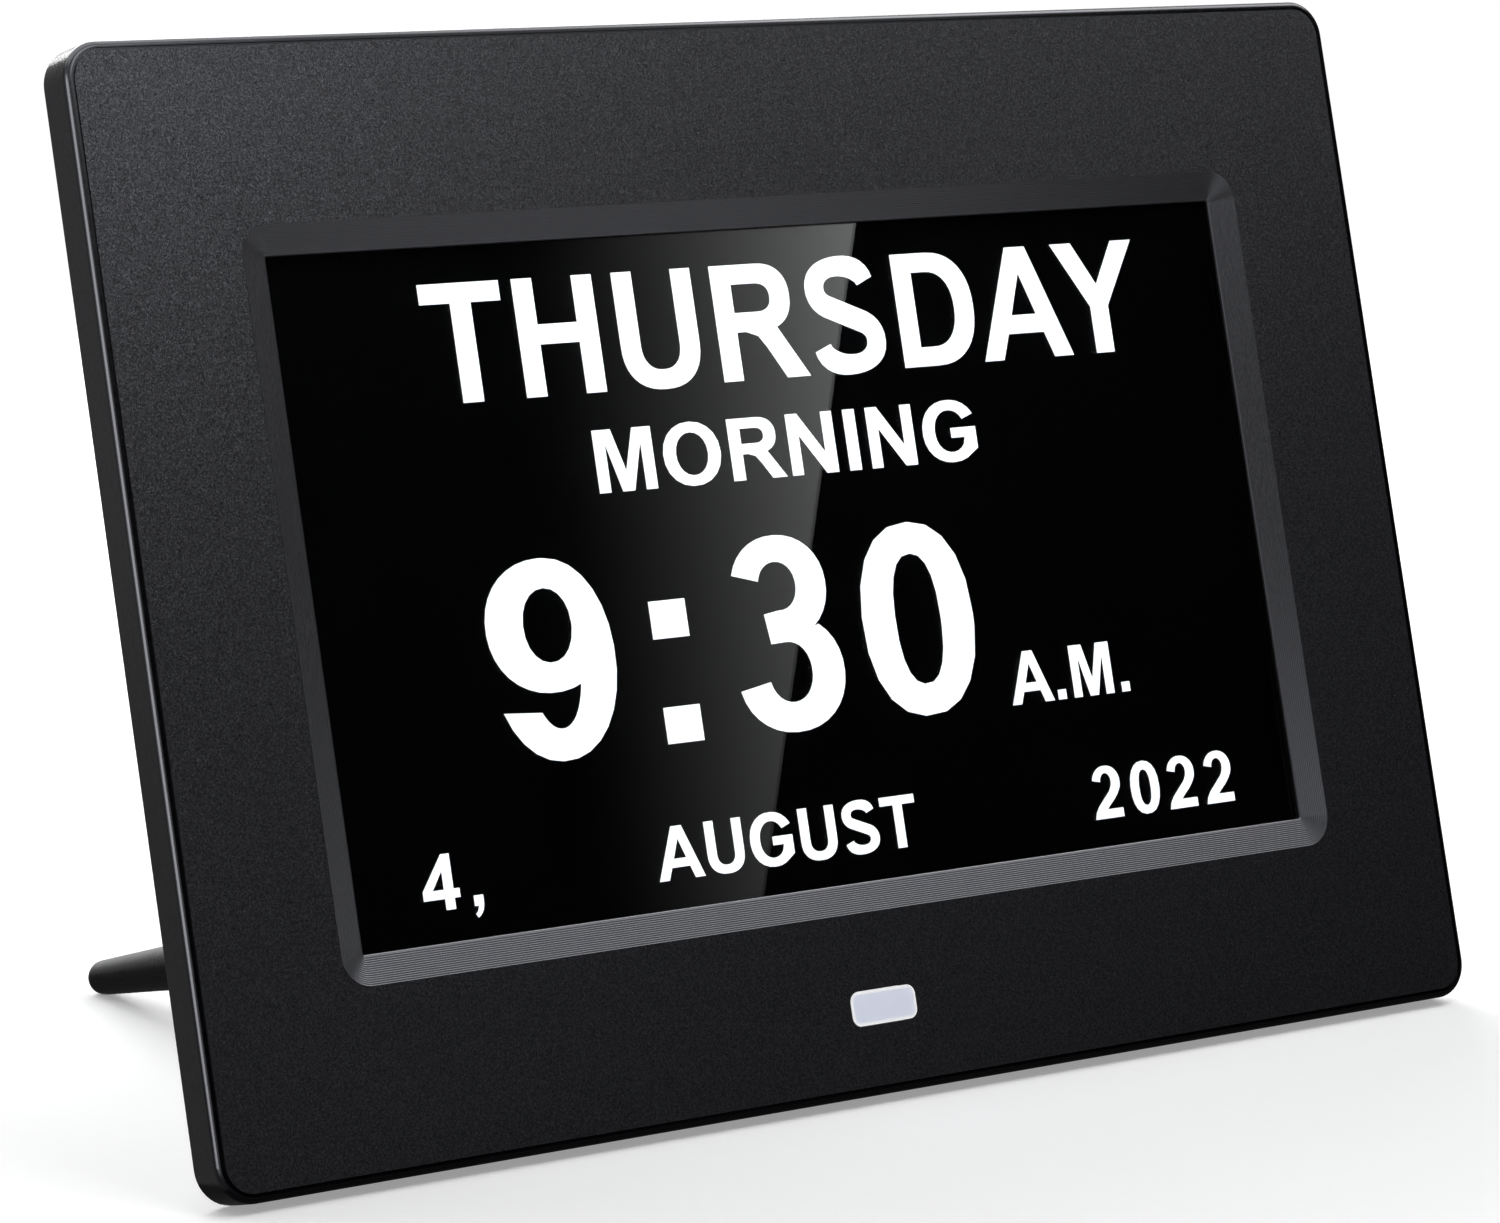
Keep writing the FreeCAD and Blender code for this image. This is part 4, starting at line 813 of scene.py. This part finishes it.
class DAYCLOCK_OT_surround(bpy.types.Operator):
    """Lays the fine parallel ribs on the sloped surround of the window"""

    bl_idname = "dayclock.surround"
    bl_label = "Rib the window surround"

    steps_per_rib: IntProperty(name="Steps", description="Points across one rib", default=8, min=4)
    steps_per_corner: IntProperty(name="Corner steps", description="Points round a corner", default=16, min=4)
    steps_under: IntProperty(name="Under steps", description="Points across the underside", default=12, min=2)
    nose_radius: FloatProperty(name="Nose", description="Radius of the window's edge, mm", default=0.25)
    skin: FloatProperty(name="Skin", description="Thickness over the solid's own edge, mm", default=0.06)

    def execute(self, context):
        """A ribbed profile is carried round rounded rectangles that grow with the distance t from the window.

        Slope: depth = drop * (1 - t / width) - cover - height, with height = crest * (1 - cos a) / 2, where
        a = 2 pi t / pitch, and a cover that thins from the skin to BEVEL_COVER. A round nose joins it to the
        window's own wall.
        """
        look = context.scene.dayclock_look
        pitch = BEVEL_WIDTH / RIB_COUNT
        # nose: an arc from the wall's direction to the slope's, whose middle lies inside the solid
        tilt = math.atan2(BEVEL_WIDTH, BEVEL_DROP)
        turn = np.linspace(0, tilt, self.steps_per_rib)
        inside = self.nose_radius - self.skin
        middle = (inside, BEVEL_DROP + inside * (1 - math.cos(tilt)) / math.sin(tilt))
        nose_t = middle[0] - self.nose_radius * np.cos(turn)
        nose_depth = middle[1] - self.nose_radius * np.sin(turn)
        t = np.linspace(nose_t[-1], BEVEL_WIDTH, RIB_COUNT * self.steps_per_rib + 1)[1:]
        cover = (self.skin / math.sin(tilt) - BEVEL_COVER) * (1 - t / BEVEL_WIDTH) + BEVEL_COVER
        slope = BEVEL_DROP * (1 - t / BEVEL_WIDTH)
        height = look.rib_crest * (1 - np.cos(2 * math.pi * (t - t[0]) / pitch)) / 2
        under = np.linspace(BEVEL_WIDTH, self.skin, self.steps_under)
        under_depth = BEVEL_DROP * (1 - under / BEVEL_WIDTH) + self.skin
        t_all = np.concatenate([[-self.skin], nose_t, t, under, [self.skin]])
        depth = np.concatenate([[LIP_DEPTH], nose_depth, slope - cover - height, under_depth, [LIP_DEPTH]])
        corner = np.radians(np.linspace(0, 90, self.steps_per_corner + 1))
        turns = np.concatenate([corner + quarter * math.pi / 2 for quarter in range(4)])
        sign_x = np.repeat([1, -1, -1, 1], len(corner))
        sign_z = np.repeat([1, 1, -1, -1], len(corner))
        radius = BEVEL_INNER_RADIUS + t_all
        x = sign_x * (WINDOW_HALF[0] - BEVEL_INNER_RADIUS) + radius[:, None] * np.cos(turns)
        z = sign_z * (WINDOW_HALF[1] - BEVEL_INNER_RADIUS) + radius[:, None] * np.sin(turns)
        points = placed(x, depth[:, None], z)
        faces = grid_faces(len(t_all), len(turns), wrap_rows=True, wrap_columns=True)
        make_piece("bevel_ribs", points, faces, finish(moulded_abs_ribs, look), "case")
        return {"FINISHED"}


class DAYCLOCK_OT_words(bpy.types.Operator):
    """Lights a plain day, date and time on the display, as thin letters in the gap behind the glass"""

    bl_idname = "dayclock.words"
    bl_label = "Light the display's words"

    def execute(self, context):
        look = context.scene.dayclock_look
        if not LENS_REAR < look.word_front < look.word_rear < CELL_FRONT:
            raise RuntimeError("the words don't fit between the lens and the display cell")
        light = finish(lit_display_cells, look)
        for name, lines in DISPLAY.items():
            outlines = [loops for line in lines for loops in set_words(*line)]
            if name == "display_time":
                outlines += colon_squares()
            flat_piece(name, outlines, look.word_front, look.word_rear, light, "case")
        return {"FINISHED"}


def arrow_mark(quarters):
    """Triangle 3 mm wide that points up, turned by quarter turns about the key's middle."""
    angle = quarters * math.pi / 2
    turn = np.array([[math.cos(angle), math.sin(angle)], [-math.sin(angle), math.cos(angle)]])
    return [[poly((-1.5, -1.0), (1.5, -1.0), (0.0, 1.3)) @ turn]]


def power_mark():
    """Open ring with a stroke in its gap."""
    ring = ribbon(arc((0, 0), (1.7, 1.7), 125, 415), np.full(ARC_STEPS + 1, 0.2))
    return [[ring], [poly((-0.2, 0.4), (0.2, 0.4), (0.2, 2.2), (-0.2, 2.2))]]


def menu_mark():
    """Three level bars."""
    return [[poly((-1.7, z - 0.22), (1.7, z - 0.22), (1.7, z + 0.22), (-1.7, z + 0.22))]
            for z in (-1.1, 0.0, 1.1)]


def ok_mark():
    """The letters O and K, seen from behind the clock."""
    lines = set_words("OK", -2.4, 2.4, -1.2, 2.4)
    return [[loop * (-1, 1) for loop in loops] for loops in lines]


# outlines in millimetres from each key's middle
KEY_MARKS = {"up": arrow_mark(0), "down": arrow_mark(2), "left": arrow_mark(1), "right": arrow_mark(3),
             "power": power_mark(), "menu": menu_mark(), "ok": ok_mark()}
MARK_SINK = 0.02                  # how deep the marks' undersides lie in the keys, mm


class DAYCLOCK_OT_key_marks(bpy.types.Operator):
    """Prints a plain mark on each key at the back"""

    bl_idname = "dayclock.key_marks"
    bl_label = "Mark the keys"

    def execute(self, context):
        look = context.scene.dayclock_look
        ink = finish(pad_printed_ink, look)
        for key, drawn in KEY_MARKS.items():
            node = "key_" + key
            middle = (np.mean(span(node, RIGHT)), np.mean(span(node, UP)))
            rear = span(node, REAR)[1]
            outlines = [[loop + middle for loop in loops] for loops in drawn]
            flat_piece("mark_" + key, outlines, rear - MARK_SINK, rear + look.mark_height, ink, node)
        return {"FINISHED"}


class DAYCLOCK_OT_peg_thread(bpy.types.Operator):
    """Cuts the screw thread on the stud of the stand peg"""

    bl_idname = "dayclock.peg_thread"
    bl_label = "Thread the peg's stud"

    steps_round: IntProperty(name="Steps round", description="Points round the stud", default=48, min=12)
    steps_per_turn: IntProperty(name="Steps per turn", description="Points in one pitch", default=12, min=6)

    def execute(self, context):
        """Radius = crest - depth * |2 frac(y / pitch - angle / 2 pi) - 1|, faded to the root at the tip.

        A plain core inside the peg closes the far end.
        """
        look = context.scene.dayclock_look
        pitch, depth = look.thread_pitch, look.thread_depth
        crest = np.ptp(span("peg_stud", RIGHT)) / 2
        length = PEG_ROOT - STUD_START
        rows = int(round(length / pitch * self.steps_per_turn)) + 1
        y = np.linspace(STUD_START, PEG_ROOT, rows)
        angle = np.linspace(0, 2 * math.pi, self.steps_round, endpoint=False)
        phase = np.mod(y[:, None] / pitch - angle / (2 * math.pi), 1.0)
        lead = np.clip((y - STUD_START) / pitch, 0, 1)[:, None]
        radius = crest - depth + depth * lead * (1 - np.abs(2 * phase - 1))
        y = np.concatenate([y, [STUD_END]])
        radius = np.concatenate([radius, np.full((1, self.steps_round), crest - depth)])
        x = PEG_X + radius * np.cos(angle)
        z = PEG_Z + radius * np.sin(angle)
        points = placed(x, y[:, None], z).reshape(-1, 3)
        ends = placed(PEG_X, y[[0, -1]], PEG_Z)
        faces = grid_faces(len(y), self.steps_round, wrap_columns=True)
        here = np.arange(self.steps_round)
        after = (here + 1) % self.steps_round
        last = (len(y) - 1) * self.steps_round
        tip, root = len(points), len(points) + 1
        faces += np.stack([after, here, np.full_like(here, tip)], 1).tolist()
        faces += np.stack([last + here, last + after, np.full_like(here, root)], 1).tolist()
        points = np.concatenate([points, ends])
        stud = make_piece("threaded_stud", points, faces, finish(zinc_plated_steel, look), "peg")
        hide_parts("peg_stud")
        return {"FINISHED"}


# ---------------------------------------------------------------- studio
GLARE_EDGE_SLOPE = 0.352          # the reflected card's edge on the glass: x = slope * z + shift, mm
GLARE_EDGE_SHIFT = 0.1
GLARE_START = -45.0               # where the reflected light begins to show, mm on the glass
GLARE_WIDTH = 60.0                # from there to where it is brightest
GLARE_STRENGTH = 1.6
GLARE_POWER = 2.4
# standing cards: middle of the foot, width and height in metres, turn in radians, and strength; the right
# one is black and hides the white room
STANDING_CARDS = {
    "wall_card": ((-0.30, 0.30, 0.0), (0.5, 0.35), 0.62, 0.3),
    "right_card": ((0.80, -0.30, 0.0), (0.9, 0.7), 1.27, 0.0),
}
# level cards: left, right, front and back edges and height in metres, and strength
LEVEL_CARDS = {
    "floor_card": (-0.55, 0.35, -0.26, 0.55, 0.0005, 0.05),
    "side_card": (-0.5, -0.104, -0.09, 0.4, 0.001, 0.22),
    "toe_card": (-0.15, 0.15, -0.16, -0.07, 0.001, 0.15),
    "front_card": (0.0, 0.7, -0.8, -0.27, 0.0005, 0.2),
    "top_card": (-0.6, 0.6, -0.35, 0.25, 0.8, 4.0),
}
CARD_DISTANCE = 0.3               # metres from the glass
CARD_ACROSS = (-330.0, 150.0)     # the stretch of glass that the card answers to, mm
CARD_UPWARD = (-140.0, 56.0)
CARD_COLUMNS, CARD_ROWS = 48, 24
FLOOR_REACH = 4.0                 # from the middle of the floor to its edges, metres
FLOOR_FADE = (0.1, 1.2)           # it goes from its near to its far white between these distances, metres


def mirrored(x, z):
    """Where the camera's line of sight lands on the card after the glass has turned it back.

    r = d - 2 (d . n) n, met with the plane across the central ray at CARD_DISTANCE.
    """
    eye = np.array(CAMERA_PLACE)
    normal = -REAR

    def turned_back(spot):
        """Direction of the line of sight through a spot, after the glass."""
        d = spot - eye
        d = d / np.linalg.norm(d, axis=-1, keepdims=True)
        return d - 2 * (d @ normal)[..., None] * normal

    middle = placed(0.0, LENS_FRONT, 0.0)
    axis = turned_back(middle[None])[0]
    plane = middle + axis * CARD_DISTANCE
    spot = placed(x, LENS_FRONT, z)
    ray = turned_back(spot)
    return spot + ray * (((plane - spot) @ axis) / (ray @ axis))[..., None]


def stage_mesh(name, points, faces, material):
    """A stage object, which isn't part of the clock."""
    mesh = bpy.data.meshes.new(name)
    mesh.from_pydata(points.reshape(-1, 3).tolist(), [], faces)
    mesh.materials.append(material)
    made = new_object(name, mesh)
    return made


def only_for_gloss(made):
    """The object shows in reflections and through glass alone, and neither lights nor shades anything."""
    made.visible_camera = False
    made.visible_diffuse = False
    made.visible_volume_scatter = False
    made.visible_shadow = False


def reflection_card():
    """Studio card in front of the glass: a lit field with one sharp slanted edge, and black beyond it.

    Left of the edge its strength is GLARE_STRENGTH * rise ^ GLARE_POWER, where rise goes from 0 at
    GLARE_START to 1 at GLARE_WIDTH beyond it.
    """
    u, v = np.meshgrid(np.linspace(*CARD_ACROSS, CARD_COLUMNS), np.linspace(*CARD_UPWARD, CARD_ROWS))
    material, tree = blank_material("studio_card")
    spot = add(tree, "Attribute", attribute_name="glass_point").outputs["Vector"]
    parts = add(tree, "SeparateXYZ", {0: spot})
    x, z = parts.outputs["X"], parts.outputs["Z"]
    slant = add(tree, "Math", {0: z, 1: GLARE_EDGE_SLOPE}, operation="MULTIPLY")
    edge = add(tree, "Math", {0: slant, 1: GLARE_EDGE_SHIFT}, operation="ADD")
    inside = add(tree, "Math", {0: edge, 1: x}, operation="GREATER_THAN")
    rise = add(tree, "MapRange", {"Value": x, "From Min": GLARE_START, "From Max": GLARE_START + GLARE_WIDTH})
    curve = add(tree, "Math", {0: rise, 1: GLARE_POWER}, operation="POWER")
    bright = add(tree, "Math", {0: curve, 1: GLARE_STRENGTH}, operation="MULTIPLY")
    strength = add(tree, "Math", {0: bright, 1: inside}, operation="MULTIPLY")
    add(tree, "OutputMaterial", {"Surface": add(tree, "Emission", {"Strength": strength})})
    card = stage_mesh("reflection_card", mirrored(u, v), grid_faces(CARD_ROWS, CARD_COLUMNS), material)
    where = card.data.attributes.new("glass_point", "FLOAT_VECTOR", "POINT")
    where.data.foreach_set("vector", np.stack([u, 0 * u, v], -1).ravel())
    only_for_gloss(card)


def plain_card(name, corners, strength):
    """Flat grey card that shows in reflections alone."""
    material, tree = blank_material(name)
    add(tree, "OutputMaterial", {"Surface": add(tree, "Emission", {"Strength": strength})})
    only_for_gloss(stage_mesh(name, np.array(corners), [(0, 1, 2, 3)], material))


def grey_cards():
    """The standing and the level cards, each one four-cornered face."""
    for name, (middle, (width, height), turn, strength) in STANDING_CARDS.items():
        along = Vector((math.cos(turn), math.sin(turn), 0.0)) * width / 2
        low, high = Vector(middle) - along, Vector(middle) + along
        top = Vector((0.0, 0.0, height))
        plain_card(name, [low, high, high + top, low + top], strength)
    for name, (left, right, front, back, z, strength) in LEVEL_CARDS.items():
        plain_card(name, [(left, front, z), (right, front, z), (right, back, z), (left, back, z)], strength)


def seen_white(tree):
    """1 for rays from the camera, off gloss and through glass, which all see the white room; else 0."""
    rays = add(tree, "LightPath").outputs
    shown = add(tree, "Math", {0: rays["Is Camera Ray"], 1: rays["Is Transmission Ray"]}, operation="MAXIMUM")
    return add(tree, "Math", {0: shown, 1: rays["Is Glossy Ray"]}, operation="MAXIMUM")


def floor_and_room(studio):
    """White floor that keeps the shadow, and an even room that is white to the camera and in reflections."""
    material, tree = blank_material("studio_floor")
    here = add(tree, "TexCoord").outputs["Object"]
    away = add(tree, "VectorMath", {0: here}, operation="LENGTH").outputs["Value"]
    white = add(tree, "MapRange", {"Value": away, "From Min": FLOOR_FADE[0], "From Max": FLOOR_FADE[1],
                                   "To Min": studio.floor_near, "To Max": studio.floor_lift})
    shown = add(tree, "Math", {0: seen_white(tree), 1: white}, operation="MULTIPLY")
    matte = add(tree, "BsdfDiffuse", {"Color": tuple(studio.floor_colour)})
    both = add(tree, "AddShader", {0: matte, 1: add(tree, "Emission", {"Strength": shown})})
    add(tree, "OutputMaterial", {"Surface": both})
    corners = np.array([(-1, -1, 0), (1, -1, 0), (1, 1, 0), (-1, 1, 0)]) * FLOOR_REACH
    stage_mesh("studio_floor", corners, [(0, 1, 2, 3)], material)

    world = bpy.data.worlds.new("studio_room")
    bpy.context.scene.world = world
    world.use_nodes = True
    tree = world.node_tree
    tree.nodes.clear()
    strength = add(tree, "MapRange", {"Value": seen_white(tree), "To Min": studio.room_light})
    room = add(tree, "Background", {"Color": (1.0, 1.0, 1.0, 1.0), "Strength": strength})
    add(tree, "OutputWorld", {"Surface": room})


def soft_lamp(name, turn, height, distance, size, power):
    """Rectangular area lamp that looks at the clock from a turn and a height, in degrees."""
    turn, height = math.radians(turn), math.radians(height)
    target = Vector(LAMP_MIDDLE)
    level = distance * math.cos(height)
    place = target + Vector((level * math.sin(turn), -level * math.cos(turn), distance * math.sin(height)))
    data = bpy.data.lights.new(name, "AREA")
    data.shape = "RECTANGLE"
    data.size, data.size_y = size
    data.energy = power
    lamp = new_object(name, data)
    lamp.location = place
    lamp.rotation_euler = (target - place).to_track_quat("-Z", "Y").to_euler()
    return lamp


def make_camera():
    """Camera at the solved place.

    Its view direction is (sin yaw cos pitch, cos yaw cos pitch, -sin pitch).
    """
    data = bpy.data.cameras.new("camera")
    data.sensor_width = 36.0
    data.lens = CAMERA_LENS
    data.shift_x, data.shift_y = CAMERA_SHIFT
    data.clip_start, data.clip_end = 0.01, 50.0
    camera = new_object("camera", data)
    camera.location = CAMERA_PLACE
    camera.rotation_euler = (math.radians(90 - CAMERA_PITCH), 0.0, -math.radians(CAMERA_YAW))
    bpy.context.scene.camera = camera


class DAYCLOCK_OT_studio(bpy.types.Operator):
    """Sets up the white floor and room, the lamps, the reflection card and the camera"""

    bl_idname = "dayclock.studio"
    bl_label = "Set up the studio"

    def execute(self, context):
        studio = context.scene.dayclock_studio
        floor_and_room(studio)
        reflection_card()
        grey_cards()
        for *place, power in LAMPS:
            soft_lamp(*place, power * studio.lamp_scale)
        for piece, (*place, power) in PIECE_LAMPS.items():
            alone = bpy.data.collections.new(piece + "_alone")
            alone.objects.link(bpy.data.objects[piece])
            lamp = soft_lamp(*place, power * studio.lamp_scale)
            lamp.light_linking.receiver_collection = alone
            lamp.visible_camera = False
            lamp.data.diffuse_factor = 0.0
        make_camera()
        context.scene.view_settings.view_transform = "Standard"
        return {"FINISHED"}


class DAYCLOCK_PT_sidebar(bpy.types.Panel):
    """Every setting, and a button for each operator"""

    bl_idname = "DAYCLOCK_PT_sidebar"
    bl_label = "Day clock"
    bl_space_type = "VIEW_3D"
    bl_region_type = "UI"
    bl_category = "Day clock"

    def draw(self, context):
        layout = self.layout
        for group in (context.scene.dayclock_look, context.scene.dayclock_studio):
            for name in group.__annotations__:
                layout.prop(group, name)
        for operator in OPERATORS:
            layout.operator(operator.bl_idname)


OPERATORS = (DAYCLOCK_OT_finishes, DAYCLOCK_OT_surround, DAYCLOCK_OT_words, DAYCLOCK_OT_key_marks,
             DAYCLOCK_OT_peg_thread, DAYCLOCK_OT_studio)
CLASSES = (ClockLook, ClockStudio, *OPERATORS, DAYCLOCK_PT_sidebar)


def register():
    """Makes the classes known and hangs the settings on the scene."""
    for kind in CLASSES:
        bpy.utils.register_class(kind)
    bpy.types.Scene.dayclock_look = PointerProperty(type=ClockLook)
    bpy.types.Scene.dayclock_studio = PointerProperty(type=ClockStudio)


def unregister():
    """Takes back what register() did, in reverse."""
    del bpy.types.Scene.dayclock_studio
    del bpy.types.Scene.dayclock_look
    for kind in reversed(CLASSES):
        bpy.utils.unregister_class(kind)


def build_clock():
    register()
    for name in ("finishes", "surround", "words", "key_marks", "peg_thread", "studio"):
        getattr(bpy.ops.dayclock, name)()


if __name__ == "__main__":
    build_clock()
